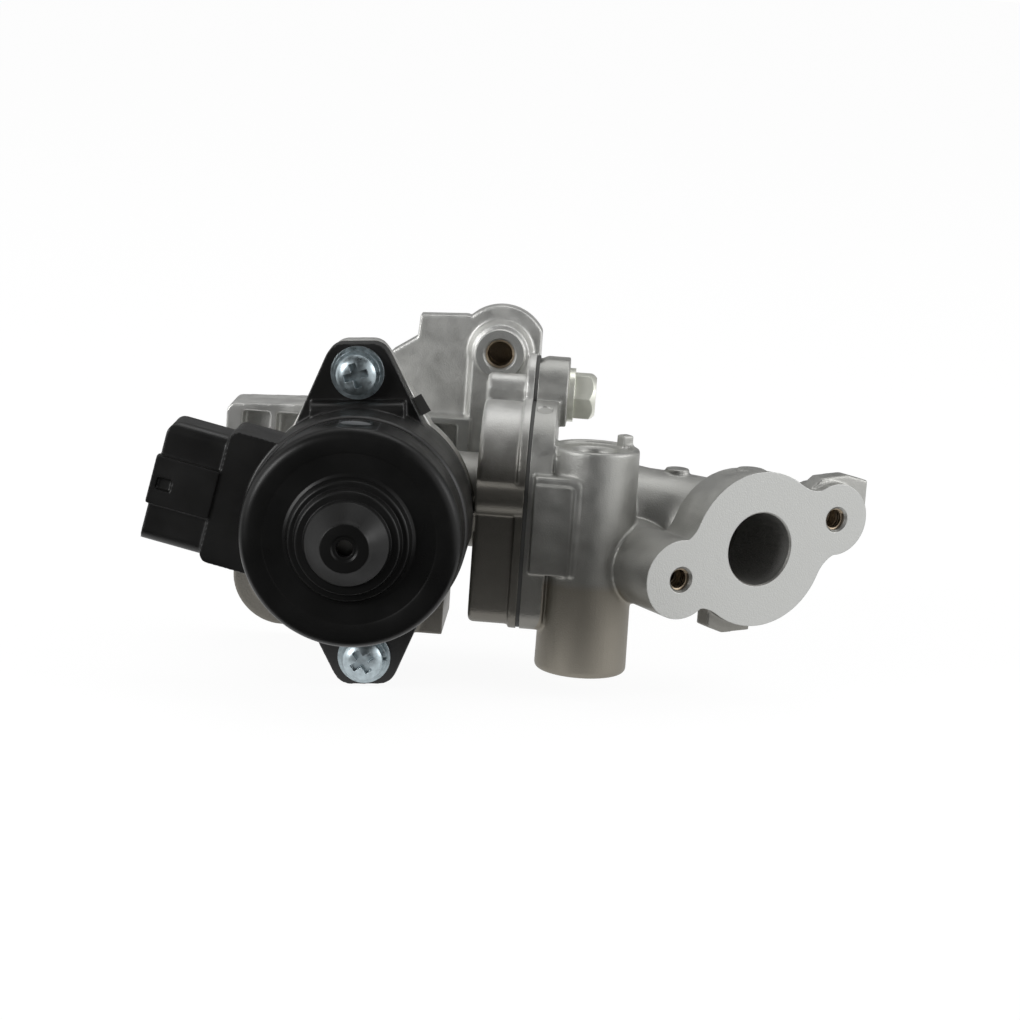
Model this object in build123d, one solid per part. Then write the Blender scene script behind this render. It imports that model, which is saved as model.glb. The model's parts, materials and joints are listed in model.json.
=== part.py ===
from build123d import *
from math import acos, atan2, cos, degrees, hypot, radians, sin, sqrt
import os

# Exhaust gas recirculation valve. A stepper motor pushes a poppet valve off its seat, and the gas
# leaves a die-cast valve housing sideways into a second casting that turns it to the outlet flange.
#
# X runs from the motor towards the outlet flange, Y runs backwards out of the engine face, and Z
# runs up the bolt sleeve. The origin is the centre of the gas inlet in the engine face.
# A depth is counted forwards from the engine face, so depth d lies at Y = -d.

# ------------------------------------------------------------------ fits
run_gap = 0.05          # shaft in its bore, on the radius
shut_gap = 0.1          # left between the poppet and its seat, and between the screw and the stem
spring_play = 0.05      # left at each end of the return spring
free_gap = 0.3          # bolt in its through hole, on the radius

# ------------------------------------------------------------------ gas way
mouth_r = 12.8
mouth_depth = 5.0
port_r = 11.8
seat_t = 4.0
seat_back = 8.0
seat_bore_r = 7.6
seat_bevel = 1.2
chamber_r = 11.3
chamber_front = 30.0
passage_r = 8.34
passage_depth = 21.0
passage_z = 0.8
neck_wall = 2.7

# ------------------------------------------------------------------ valve housing
plate_t = 5.0
plate_r = 23.0
ear_r = 10.9
ear_cut = 0.5
ear_upper = (27.3, 33.8)
ear_lower = (-21.2, -24.2)
lobe_r = 12.4
engine_tap_r = 3.4
engine_tap_depth = 8.6
engine_tap_upper = (24.8, 22.6)
stay_tap_r = 3.4
stay_tap_depth = 8.6
tap_sink = 0.5          # countersink of the stay hole
ear_boss_r = 7.7
ear_boss_h = 5.0
ear_step = 0.9           # the tower's outer step lies this far below its seat
ear_seat_r = 5.7
low_boss_r = 8.3
ear_boss_draft = 12.0
panel_left = -12.0
panel_foot = -6.0
panel_slope = (1.9, 32.3)
panel_corner = (7.3, 35.9)
panel_top_left = (7.7, 41.2)
panel_top_right = (19.0, 41.8)
barrel_r = 20.0
tower_left = 19.9
tower_foot = 4.0
web_top = 17.8
web_left = 4.0
web_wall = 1.6
foot_x = (7.0, 19.5)
foot_z = (-28.0, -8.0)
foot_depth = (12.0, 39.0)
spring_room_r = 13.0
spring_floor = 33.0

# ------------------------------------------------------------------ side bracket
bracket_left = -35.5
bracket_right = -14.0
bracket_top = 18.7
bracket_rise = 1.1
bracket_foot = -10.0
bracket_back = 3.0
bracket_front = 18.0
bracket_corner_r = 2.2
pocket_w = 6.4
pocket_rib = 1.5
pocket_top = 17.2
pocket_foot = 2.0
pocket_depth = 5.0
pocket_first = -31.6

# ------------------------------------------------------------------ joint between the castings
joint_x = 36.3
gasket_t = 0.9
block_left = 25.2
block_inset = 0.8
block_boss_r = 4.0
block_edge = 1.2
rim_w = 1.8
joint_ear = (16.0, 26.4)
joint_ear_r = 9.0
joint_ear_flat = 0.6     # taken off the crown of the ear
ear_slope = (1.6, 1.1)   # run and drop from the ear's crown to the joint
ear_land = 0.5           # seat left below the bolt's flange
joint_barrel = (25.0, 9.0)
joint_barrel_r = 17.0
joint_toe = (37.5, -20.8)
joint_toe_r = 4.5
joint_heel = (11.5, -18.2)
joint_heel_r = 7.5
dowel_at = (38.4, 5.2)
dowel_r = 1.5
dowel_len = 9.0
dowel_boss_at = (40.0, 5.2)
dowel_boss_r = 4.0
gasket_inset = 0.3
root_depth = 14.0
root_foot = -4.0
root_top = 27.0

# ------------------------------------------------------------------ joint bolts, M6 flange head
joint_bolt_r = 3.0
joint_bolt_grip = 9.0
bolt_tip_room = 0.8
bolt_flange_r = 6.3
bolt_flange_t = 1.4
bolt_hex_af = 10.0
bolt_hex_h = 5.0
bolt_edge = 0.6

# ------------------------------------------------------------------ joint housing
elbow_flange_t = 5.2
elbow_ear_t = 7.0
pipe_wall = 4.0
pipe_root_r = 14.6
pipe_root_end = 68.0
pipe_root_fade = 0.4
pipe_set_in = 1.5
bore_over = 1.0
bend_r = 19.0
pipe_seam = 90.0        # turns the pipe's seam line to its outer side
outlet_x = 90.6
outlet_depth = 40.0
outlet_z = -2.1
outlet_turn = 32.3
outlet_tilt = 16.5
outlet_t = 12.5
outlet_draft = 6.4
outlet_disc_r = 18.0
outlet_hole_span = 43.3
outlet_lobe_r = 8.4
outlet_neck = 7.9
outlet_blend_r = 8.0
outlet_tap_r = 2.5
outlet_tap_chamfer = 0.4
outlet_tap_depth = 18.0
lobe_boss_r = 9.1
lobe_boss_len = 24.0
collar_r = 10.1
collar_start = 15.0
collar_end = 21.0
pad_back = 3.0
pad_t = 4.5
clamp_pad = ((14.5, 4.0), (14.8, 12.8), (18.3, 15.4), (25.2, 15.9), (31.0, 14.4), (31.0, 2.0))
rest_pad = ((-10.8, -8.0), (-10.6, -18.3), (-6.3, -19.9), (0.9, -19.6), (0.9, -8.0))
rim_dot_r = 3.2
rim_dot_top = 17.6
rim_dot_len = 1.5
pipe_dot_r = 2.8
pipe_dot_h = 0.2
pipe_dot_x = 70.9

# ------------------------------------------------------------------ bolt sleeve on the joint housing
sleeve_x = 51.7
sleeve_depth = 35.0
sleeve_r = 10.1
sleeve_foot_r = 10.6
sleeve_top = 17.9
sleeve_foot = -34.4
sleeve_bore_r = 4.5
sleeve_chamfer = 1.0
sleeve_edge = 1.2
sleeve_top_edge = 0.6
sleeve_rim = 1.7         # width of the raised rim round the sleeve's top
sleeve_sink = 0.8
tab_width = 2.8
tab_height = 2.4
tab_turn = 36.0
face_pad_left = 38.6
face_pad_right = 49.5
face_pad_top = 11.6
face_pad_foot = -11.2
face_pad_depth = 44.4
face_pad_rim = 1.9
face_pad_step = 0.8
face_pad_edge = 0.6
face_pad_corner_r = 2.2

# ------------------------------------------------------------------ motor case
motor_turn = 4.75
flange_face = 41.6
flange_t = 6.0
flange_r = 25.1
seat_inset = 0.4
seat_core_r = 23.2
seal_t = 0.6
screw_reach = 32.65
case_ear_r = 8.1
case_ear_t = 4.8
case_ear_end = 6.5
case_ear_blend = 4.0
case_core_r = 22.0
case_r = 25.1
case_front = 62.0
case_edge = 1.5
case_floor = (52.0, 56.0)
gusset_half = 10.6
gusset_top = 26.3
gusset_foot = 18.0
gusset_h = 4.6
gusset_edge = 2.0
seal_tab = (3.4, 4.4)
seal_tab_at = (13.3, 24.2)
ear_rib_half = 2.0
ear_rib_back = 22.0
ear_rib_short = 4.0
ear_rib_set_in = 1.0

# ------------------------------------------------------------------ motor cap
cap_r = 24.5
cap_front_wall = 1.6
cap_front = 75.0
cap_edge = 2.5
cap_lip = 2.0
cap_lip_wall = 1.6
nose_steps = ((13.3, 77.2), (11.4, 79.4))
nose_cone = ((9.3, 80.6), (5.9, 84.6))
nose_disc = (5.3, 85.3)
nose_bore_r = 4.4
nose_bore_front = 83.2
nose_hole_r = 1.9

# ------------------------------------------------------------------ connector, drawn before its tilt
plug_tilt = 16.25
plug_block_x = (-32.0, -16.0)
plug_block_z = (-17.0, 13.6)
plug_block_depth = (46.2, 61.0)
plug_block_edge = 2.2
shell_mouth = -45.8
shell_z = (-15.9, 11.8)
shell_depth = (47.4, 60.4)
shell_wall = 1.5
shell_edge = 2.6
shell_corner_r = 3.0
shell_room = 11.0
lock_z = (-7.3, 3.8)
lock_h = 1.1
lock_reach = 0.7
window_at = (-43.4, -2.3)
window_size = (3.4, 2.8)
window_deep = 0.9
pin_w = 1.5
pin_t = 0.8
pin_len = 10.0
pin_root = 4.0
pin_pitch = 6.2
pin_row_gap = 4.6
pin_columns = 3
pin_rows = 2

# ------------------------------------------------------------------ motor screws and washers, M6
screw_r = 3.0
screw_head_r = 5.1
screw_head_h = 3.4
screw_head_edge = 1.6
screw_out = 0.8
cross_w = 1.3
cross_span = 5.6
cross_deep = 1.8
washer_r = 6.0
washer_t = 1.0
lock_washer_r = 5.2
lock_washer_t = 1.4
lock_washer_slot = 0.8
liner_wall = 1.1

# ------------------------------------------------------------------ moving valve
stem_r = 3.0
stem_spigot_r = 2.4
stem_front = 49.9
rivet_r = 3.4
rivet_h = 0.6
poppet_r = 9.2
poppet_back = 5.8
bush_r = 5.2
bush_back = 24.0
bush_front = 30.5
guide_boss_r = 7.6
stem_seal_r = 6.2
keeper_r = 10.6
keeper_t = 1.2
keeper_hub_r = 4.6
keeper_hub_t = 1.0
keeper_back = 46.0
clip_r = 4.2
clip_t = 0.8
wire_r = 0.75
coil_r = 8.4
coil_turns = 5

# ------------------------------------------------------------------ motor drive
drive_screw_r = 3.5
drive_screw_flats = 5.4
drive_screw_flat_len = 7.0
drive_screw_len = 30.0
guide_t = 1.2
bearing_r = 8.0
bearing_w = 4.0
journal_r = 5.0
journal_short = 0.3
nut_r = 6.0
rotor_back = 58.0
rotor_play = 0.4         # from the rotor to the cap's inner floor
magnet_r = 10.6
magnet_margin = 1.0
air_gap = 0.4
yoke_r = 21.6
yoke_sheet = 1.0
yoke_back = 57.0
yoke_front = 73.2

os.makedirs("parts", exist_ok=True)


# ================================================================== drawing aids
def at_depth(depth):
    """Plane parallel to the engine face: its axes are X and Z, and it looks forwards."""
    return Plane(origin=(0, -depth, 0), x_dir=(1, 0, 0), z_dir=(0, -1, 0))


def across(x):
    """Plane across X: its axes are the depth and Z."""
    return Plane(origin=(x, 0, 0), x_dir=(0, -1, 0), z_dir=(-1, 0, 0))


def slab(outline, back, front):
    """An outline drawn in X and Z, from one depth to another."""
    return extrude(at_depth(back) * outline, front - back, dir=(0, -1, 0))


def bar(outline, left, right):
    """An outline drawn in depth and Z, from one X to another."""
    return extrude(across(left) * outline, right - left, dir=(1, 0, 0))


def disc(radius, back, front, centre=(0, 0)):
    return slab(Pos(*centre) * Circle(radius), back, front)


def ring(outer, inner, back, front, centre=(0, 0)):
    return disc(outer, back, front, centre) - disc(inner, back, front, centre)


def turned(*profile):
    """A body of revolution about the motor axis, from its (radius, depth) corners."""
    corners = [(radius, -depth) for radius, depth in profile]
    return revolve(make_face(Polyline(*corners, close=True)), Axis.Y)


def rectangle(x_range, z_range):
    """A rectangle from its limits."""
    width = x_range[1] - x_range[0]
    height = z_range[1] - z_range[0]
    return Pos(sum(x_range) / 2, sum(z_range) / 2) * Rectangle(width, height)


def polar(centre, radius, angle):
    return (centre[0] + radius * cos(angle), centre[1] + radius * sin(angle))


def tangent_web(a, a_r, b, b_r):
    """Two round ends joined by their outer tangents."""
    along = atan2(b[1] - a[1], b[0] - a[0])
    lean = acos((a_r - b_r) / hypot(b[0] - a[0], b[1] - a[1]))
    sides = [along + lean, along - lean]
    quad = [polar(a, a_r, sides[0]), polar(b, b_r, sides[0])]
    quad += [polar(b, b_r, sides[1]), polar(a, a_r, sides[1])]
    ends = Pos(*a) * Circle(a_r) + Pos(*b) * Circle(b_r)
    return ends + make_face(Polyline(*quad, close=True))


def outline_of(*corners):
    return make_face(Polyline(*corners, close=True))


# ================================================================== shared outlines and places
seat_front = seat_back + seat_t
case_back = flange_face + seal_t
ear_front = case_back + case_ear_t
elbow_left = joint_x + gasket_t
rotor_front = cap_front - cap_front_wall - rotor_play
motor_spin = Rot(0, -motor_turn, 0)
plug_spin = Rot(0, plug_tilt, 0)
screw_points = [(0, screw_reach), (0, -screw_reach)]
joint_bolts = [joint_ear, joint_heel]


def joint_outline(inset=0.0, ear_shrink=0.0):
    """The shape that both castings and their gasket share at the joint, in depth and Z."""
    ear = (joint_ear, joint_ear_r - inset - ear_shrink)
    barrel = (joint_barrel, joint_barrel_r - inset)
    toe = (joint_toe, joint_toe_r - inset)
    heel = (joint_heel, joint_heel_r - inset)
    shape = outline_of(joint_ear, joint_barrel, joint_toe, joint_heel)
    for one, other in ((barrel, toe), (toe, heel), (heel, ear)):
        shape += tangent_web(*one, *other)
    return shape


def ear_outline(tip_r, core_r):
    """The motor's round core with its two screw ears."""
    shape = Circle(core_r)
    for point in screw_points:
        shape += tangent_web((0, 0), core_r, point, tip_r)
    end = screw_reach + case_ear_end
    shape &= Rectangle(2 * end, 2 * end)
    corners = [v for v in shape.vertices() if abs(v.Y) > end - case_ear_blend]
    return fillet(corners, case_ear_blend)


def outlet_plane(back=0.0):
    """Plane of the outlet face, or one behind it: its axes are level and upright."""
    turn = radians(outlet_turn)
    out = Vector(sin(turn), -cos(turn), 0)
    centre = Vector(outlet_x, -outlet_depth, outlet_z) - out * back
    return Plane(origin=centre, x_dir=(cos(turn), sin(turn), 0), z_dir=out)


def lobe_centre(side):
    """Centre of one outlet bolt hole in the outlet plane: side is -1 or 1."""
    return polar((0, 0), side * outlet_hole_span / 2, radians(outlet_tilt))


# ================================================================== valve housing
def engine_plate():
    """Back plate with the two engine bolt ears, cut off square at the joint."""
    corners = [(panel_left, panel_foot), (panel_left, bracket_top), panel_slope, panel_corner]
    corners += [panel_top_left, panel_top_right, ear_upper, (joint_x, ear_upper[1])]
    corners += [(joint_x, panel_foot)]
    ear = Pos(*ear_upper) * Circle(ear_r)
    keep = rectangle((panel_left, joint_x + ear_cut), (panel_foot, ear_upper[1] + ear_r))
    lower = tangent_web((0, 0), plate_r, ear_lower, lobe_r)
    upper = (outline_of(*corners) + ear) & keep
    return slab(upper, 0, plate_t) + slab(lower, 0, plate_t)


def ear_bosses():
    """Drafted bosses that raise the bolt seats above the plate."""
    boss_front = plate_t + ear_boss_h
    stand = Pos(*ear_upper) * Circle(ear_boss_r)
    stand += rectangle((tower_left, joint_x), (tower_foot, ear_upper[1]))
    step_h = ear_boss_h - ear_step
    tower = extrude(at_depth(plate_t) * stand, step_h, taper=ear_boss_draft)
    step = rectangle((plate_t, plate_t + step_h), (tower_foot, ear_upper[1]))
    tower += bar(step, block_left, joint_x) + disc(ear_seat_r, plate_t, boss_front, ear_upper)
    low_boss = Pos(*ear_lower) * Circle(low_boss_r)
    return tower + extrude(at_depth(plate_t) * low_boss, ear_boss_h, taper=ear_boss_draft)


def stiffening_web():
    """Low frame between the barrel and the tower, open to the front."""
    frame = rectangle((web_left, tower_left + web_wall), (0, web_top))
    pocket = rectangle((web_left + web_wall, tower_left - web_wall), (web_wall, web_top - web_wall))
    return slab(frame - pocket, plate_t, plate_t + ear_boss_h)


def side_bracket():
    """Box on the free side, with two tall pockets open to the front."""
    corners = [(bracket_left, bracket_foot), (bracket_left, bracket_top)]
    corners += [(bracket_right, bracket_top + bracket_rise), (bracket_right, bracket_foot)]
    box = slab(outline_of(*corners), bracket_back, bracket_front)
    outer_edges = box.edges().filter_by(Axis.Y).group_by(Axis.X)[0]
    box = fillet(outer_edges, bracket_corner_r)
    for number in range(2):
        left = pocket_first + number * (pocket_w + pocket_rib)
        pocket = rectangle((left, left + pocket_w), (pocket_foot, pocket_top))
        box -= slab(pocket, bracket_front - pocket_depth, bracket_front)
    return box


def motor_flange():
    """Machined seat for the motor, with a rib behind each screw ear."""
    back = flange_face - flange_t
    seat = slab(ear_outline(case_ear_r - seat_inset, seat_core_r), back, flange_face)
    seat += disc(flange_r, back, flange_face)
    foot = barrel_r - ear_rib_set_in
    profile = outline_of((ear_rib_back, foot), (back, screw_reach - ear_rib_short), (back, foot))
    rib = bar(profile, -ear_rib_half, ear_rib_half)
    return motor_spin * (seat + rib + Rot(0, 180, 0) * rib)


def joint_block():
    """Thick side wall that carries the joint face, its bolts and its dowel."""
    inner = joint_outline(block_inset, joint_ear_r - block_inset - block_boss_r)
    block = bar(inner, block_left, joint_x - rim_w)
    block = fillet(block.edges().group_by(Axis.X)[0], block_edge)
    block += bar(joint_outline(), joint_x - rim_w, joint_x)
    block += bar(Pos(*dowel_boss_at) * Circle(dowel_boss_r), block_left, joint_x)
    block += bar(rectangle((0, root_depth), (root_foot, root_top)), block_left, joint_x)
    return block


def housing_cavities():
    """Everything bored or drilled in the valve housing."""
    cut = disc(mouth_r, 0, mouth_depth)
    cut += disc(port_r, 0, seat_front)
    cut += ring(chamber_r, guide_boss_r, seat_front, chamber_front)
    cut += disc(chamber_r, seat_front, bush_back)
    cut += disc(bush_r, bush_back, bush_front)
    cut += disc(stem_seal_r, bush_front, spring_floor)
    cut += disc(spring_room_r, spring_floor, flange_face)
    side_bore = Pos(passage_depth, passage_z) * Circle(passage_r)
    cut += bar(side_bore, guide_boss_r, joint_x)
    for point in (engine_tap_upper, ear_lower):
        cut += disc(engine_tap_r, 0, engine_tap_depth, point)
    boss_front = plate_t + ear_boss_h
    cut += disc(stay_tap_r, boss_front - stay_tap_depth, boss_front, ear_upper)
    sink_at = at_depth(boss_front - tap_sink / 2) * Pos(*ear_upper)
    cut += sink_at * Cone(stay_tap_r, stay_tap_r + tap_sink, tap_sink)
    for point in joint_bolts:
        cut += bar(Pos(*point) * Circle(joint_bolt_r), joint_x - joint_bolt_grip, joint_x)
    cut += bar(Pos(*dowel_at) * Circle(dowel_r), joint_x - dowel_len / 2, joint_x)
    taps = Part() + [disc(screw_r, flange_face - flange_t, flange_face, point) for point in screw_points]
    return cut + motor_spin * taps


def valve_housing():
    body = engine_plate() + ear_bosses() + stiffening_web() + side_bracket()
    body += disc(barrel_r, plate_t, flange_face)
    body += motor_flange() + joint_block()
    body += slab(rectangle(foot_x, foot_z), *foot_depth)
    neck = Pos(passage_depth, passage_z) * Circle(passage_r + neck_wall)
    body += bar(neck, 0, joint_x)
    return body - housing_cavities()


def valve_seat():
    """Steel ring pressed in behind the chamber, bevelled towards the engine."""
    bevel_r = seat_bore_r + seat_bevel
    return turned(
        (bevel_r, seat_back),
        (port_r, seat_back),
        (port_r, seat_front),
        (seat_bore_r, seat_front),
        (seat_bore_r, seat_back + seat_bevel),
    )


def guide_bush():
    return ring(bush_r, stem_r + run_gap, bush_back, bush_front)


def stem_seal():
    return ring(stem_seal_r, stem_r + run_gap, bush_front, spring_floor)


# ================================================================== joint housing
def pipe_path(over):
    """Centre line of the gas way to the outlet face. It starts over the joint face, or short of it."""
    entry = Vector(elbow_left, -passage_depth, passage_z)
    face = outlet_plane()
    run_back = (outlet_depth - passage_depth) / cos(radians(outlet_turn))
    corner = face.origin - face.z_dir * run_back
    start = entry + (entry - corner).normalized() * over
    return FilletPolyline(start, corner, face.origin, radius=bend_r)


def piped(radius, over):
    path = pipe_path(over)
    section = Plane(origin=path @ 0, z_dir=path % 0) * Rot(0, 0, pipe_seam) * Circle(radius)
    return sweep(section, path=path)


def pipe_root():
    """Tapered root that spreads the pipe onto the joint flange."""
    path = pipe_path(-pipe_set_in)
    length = pipe_root_end - elbow_left - pipe_set_in
    narrow_r = passage_r + pipe_wall - pipe_root_fade
    middle = Plane(origin=path @ 0 + (path % 0) * (length / 2), z_dir=path % 0)
    return middle * Cone(pipe_root_r, narrow_r, length)


def joint_flange():
    """Left face of the joint housing, thicker where the two bolts sit."""
    seat = elbow_left + elbow_ear_t
    crown = joint_ear[1] + joint_ear_r
    ear_width = (joint_ear[0] - joint_ear_r, joint_ear[0] + joint_ear_r)
    ear = Pos(*joint_ear) * Circle(joint_ear_r)
    ear &= rectangle(ear_width, (joint_ear[1] - bolt_flange_r - ear_land, crown))
    heel = Pos(*joint_heel) * Circle(joint_heel_r)
    flange = bar(joint_outline(), elbow_left, elbow_left + elbow_flange_t)
    flange += bar(ear, elbow_left, seat) + bar(heel, elbow_left, seat)
    level = crown - joint_ear_flat
    slope = [(elbow_left, level - ear_slope[1]), (elbow_left + ear_slope[0], level)]
    shaving = outline_of(*slope, (seat, level), (seat, crown), (elbow_left, crown))
    return flange - slab(shaving, *ear_width)


def bolt_sleeve():
    """Upright sleeve for a long bolt, with a locating tab on its top face."""
    height = sleeve_top - sleeve_foot
    sleeve = Pos(0, 0, (sleeve_top + sleeve_foot) / 2) * Cone(sleeve_foot_r, sleeve_r, height)
    sleeve = fillet(sleeve.edges().group_by(Axis.Z)[0], sleeve_edge)
    sleeve = fillet(sleeve.edges().group_by(Axis.Z)[-1], sleeve_top_edge)
    tab_at = sleeve_r - sleeve_top_edge - tab_width / 2
    tab = Pos(tab_at, 0, sleeve_top) * Box(tab_width, tab_width, 2 * tab_height)
    sleeve -= Pos(0, 0, sleeve_top - sleeve_sink / 2) * Cylinder(sleeve_r - sleeve_rim, sleeve_sink)
    sleeve += Rot(0, 0, tab_turn) * tab
    return Pos(sleeve_x, -sleeve_depth, 0) * sleeve


def face_pad_outline(inset):
    """Rectangle of the pad with its free upper corner rounded."""
    across = (face_pad_left, face_pad_right - inset)
    upright = (face_pad_foot, face_pad_top - inset)
    shape = rectangle(across, upright)
    corner = shape.vertices().group_by(Axis.X)[-1].sort_by(Axis.Z)[-1]
    return fillet(corner, face_pad_corner_r - inset / 2)


def face_pad():
    """Flat pad on the front of the sleeve, with a raised rim along its top and free side."""
    whole = face_pad_outline(0)
    rim = slab(whole - face_pad_outline(face_pad_rim), face_pad_depth, face_pad_depth + face_pad_step)
    pad = slab(whole, sleeve_depth, face_pad_depth) + rim
    return fillet(pad.faces().sort_by(Axis.Y)[0].edges(), face_pad_edge)


def outlet_outline():
    """Two-lobed outlet flange: the neck runs into the central disc in concave blends."""
    shape = Circle(outlet_disc_r)
    neck_end = outlet_hole_span / 2 + sqrt(outlet_lobe_r**2 - outlet_neck**2)
    neck = Rectangle(2 * neck_end, 2 * outlet_neck)
    shape += neck
    corners = [v for v in shape.vertices() if abs(v.X) < outlet_disc_r]
    shape = fillet(corners, outlet_blend_r)
    for side in (-1, 1):
        shape += Pos(side * outlet_hole_span / 2, 0) * Circle(outlet_lobe_r)
    return Rot(0, 0, outlet_tilt) * shape


def outlet_flange():
    """The outlet flange with the lumps that the casting carries behind and around it."""
    flange = extrude(outlet_plane() * outlet_outline(), -outlet_t, taper=outlet_draft)
    pad_plane = outlet_plane(pad_back + pad_t)
    for corners in (clamp_pad, rest_pad):
        flange += extrude(pad_plane * outline_of(*corners), pad_t)
    dot_at = Pos(0, rim_dot_top - rim_dot_len / 2, -outlet_t / 2)
    dot = dot_at * Rot(90, 0, 0) * Cylinder(rim_dot_r, rim_dot_len)
    return flange + outlet_plane() * dot


def lobe_boss():
    """Tapped boss behind the near lobe, flared where it runs into the sleeve."""
    centre = lobe_centre(-1)
    boss = extrude(outlet_plane(lobe_boss_len) * Pos(*centre) * Circle(lobe_boss_r), lobe_boss_len)
    flare_len = collar_end - collar_start
    flare = Pos(*centre, -flare_len / 2) * Cone(collar_r, lobe_boss_r, flare_len)
    return boss + outlet_plane(collar_start) * flare


def pipe_dot():
    """Round ejector dot on the top of the pipe."""
    top = passage_r + pipe_wall + pipe_dot_h
    lean = (outlet_z + passage_z) / 2
    return Pos(pipe_dot_x, -passage_depth, lean + top / 2) * Cylinder(pipe_dot_r, top)


def elbow_cavities():
    """The gas way, the sleeve bore and every bolt and dowel hole."""
    axis = Pos(sleeve_x, -sleeve_depth, 0)
    bore = Cylinder(sleeve_bore_r, sleeve_top - sleeve_foot)
    countersink = Cone(sleeve_bore_r, sleeve_bore_r + sleeve_chamfer, sleeve_chamfer)
    cuts = [piped(passage_r, bore_over)]
    cuts.append(axis * Pos(0, 0, (sleeve_top + sleeve_foot) / 2) * bore)
    cuts.append(axis * Pos(0, 0, sleeve_top - sleeve_sink - sleeve_chamfer / 2) * countersink)
    for point in joint_bolts:
        hole = Pos(*point) * Circle(joint_bolt_r + free_gap)
        cuts.append(bar(hole, elbow_left, elbow_left + elbow_ear_t))
    cuts.append(bar(Pos(*dowel_at) * Circle(dowel_r), elbow_left, joint_x + dowel_len / 2))
    lead_in = Cone(outlet_tap_r, outlet_tap_r + outlet_tap_chamfer, outlet_tap_chamfer)
    for side in (-1, 1):
        tap = Pos(*lobe_centre(side)) * Circle(outlet_tap_r)
        cuts.append(extrude(outlet_plane(outlet_tap_depth) * tap, outlet_tap_depth))
        cuts.append(outlet_plane(outlet_tap_chamfer / 2) * Pos(*lobe_centre(side)) * lead_in)
    return cuts


def joint_housing():
    body = joint_flange() + piped(passage_r + pipe_wall, -pipe_set_in) + pipe_root()
    body += outlet_flange()
    body += lobe_boss() + bolt_sleeve() + face_pad() + pipe_dot()
    for cut in elbow_cavities():
        body -= cut
    return body


def joint_gasket():
    sheet = bar(joint_outline(gasket_inset), joint_x, elbow_left)
    sheet -= bar(Pos(passage_depth, passage_z) * Circle(passage_r + gasket_inset), joint_x, elbow_left)
    sheet -= bar(Pos(*dowel_at) * Circle(dowel_r), joint_x, elbow_left)
    for point in joint_bolts:
        sheet -= bar(Pos(*point) * Circle(joint_bolt_r + free_gap), joint_x, elbow_left)
    return sheet


def dowel_pin():
    half = dowel_len / 2
    return bar(Pos(*dowel_at) * Circle(dowel_r), joint_x - half, joint_x + half)


def joint_bolt(point):
    """M6 flange bolt, its head against the joint housing."""
    seat = elbow_left + elbow_ear_t
    place = Pos(*point)
    bolt = bar(place * Circle(joint_bolt_r), joint_x - joint_bolt_grip + bolt_tip_room, seat)
    bolt += bar(place * Circle(bolt_flange_r), seat, seat + bolt_flange_t)
    hex_outline = place * RegularPolygon(bolt_hex_af / 2, 6, major_radius=False)
    top = seat + bolt_flange_t + bolt_hex_h
    head = bar(hex_outline, seat + bolt_flange_t, top)
    dome = Cone(bolt_hex_af / 2 + bolt_hex_h, bolt_hex_af / 2 - bolt_edge, bolt_hex_h + bolt_edge)
    dome_x = top - (bolt_hex_h + bolt_edge) / 2
    head &= Pos(dome_x, -point[0], point[1]) * Rot(0, 90, 0) * dome
    return bolt + head


# ================================================================== motor, drawn upright
def motor_seal():
    """Paper gasket under the motor, with its finger tab at the upper right."""
    outline = ear_outline(case_ear_r, case_core_r) + Circle(case_r)
    outline += Pos(*seal_tab_at) * Rot(0, 0, degrees(atan2(*seal_tab_at))) * Rectangle(*seal_tab)
    outline -= Circle(spring_room_r)
    for point in screw_points:
        outline -= Pos(*point) * Circle(screw_r + free_gap)
    return slab(outline, flange_face, case_back)


def ear_gusset(side):
    """Raised shoulder that ties a screw ear to the round case."""
    shape = rectangle((-gusset_half, gusset_half), (gusset_foot, gusset_top))
    shoulder = slab(shape, ear_front, ear_front + gusset_h)
    top_edge = shoulder.edges().filter_by(Axis.X).group_by(Axis.Z)[-1].sort_by(Axis.Y)[0]
    shoulder = fillet(top_edge, gusset_edge)
    return shoulder if side > 0 else Rot(0, 180, 0) * shoulder


def plug_body():
    """Connector: a block on the case and an open shell with its lock rail."""
    block = slab(rectangle(plug_block_x, plug_block_z), *plug_block_depth)
    block = fillet(block.edges().filter_by(Axis.Y).group_by(Axis.X)[0], plug_block_edge)
    shell = slab(rectangle((shell_mouth, plug_block_x[0]), shell_z), *shell_depth)
    shell = fillet(shell.edges().filter_by(Axis.X), shell_edge)
    mouth = rectangle((shell_mouth, plug_block_x[0] + shell_corner_r), shell_z)
    corner = mouth.vertices().group_by(Axis.X)[0].sort_by(Axis.Z)[-1]
    shell &= slab(fillet(corner, shell_corner_r), *shell_depth)
    reach = (shell_mouth - lock_reach, plug_block_x[0])
    rail = slab(rectangle(reach, lock_z), shell_depth[1] - shell_wall, shell_depth[1] + lock_h)
    window = Pos(*window_at) * Rectangle(*window_size)
    rail -= slab(window, shell_depth[1] + lock_h - window_deep, shell_depth[1] + lock_h)
    room_z = (shell_z[0] + shell_wall, shell_z[1] - shell_wall)
    room_depth = (shell_depth[0] + shell_wall, shell_depth[1] - shell_wall)
    room = slab(rectangle((shell_mouth - lock_reach, shell_mouth + shell_room), room_z), *room_depth)
    inner_r = shell_edge - shell_wall
    room = fillet(room.edges().filter_by(Axis.X), inner_r)
    return plug_spin * (block + shell + rail - room)


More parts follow.
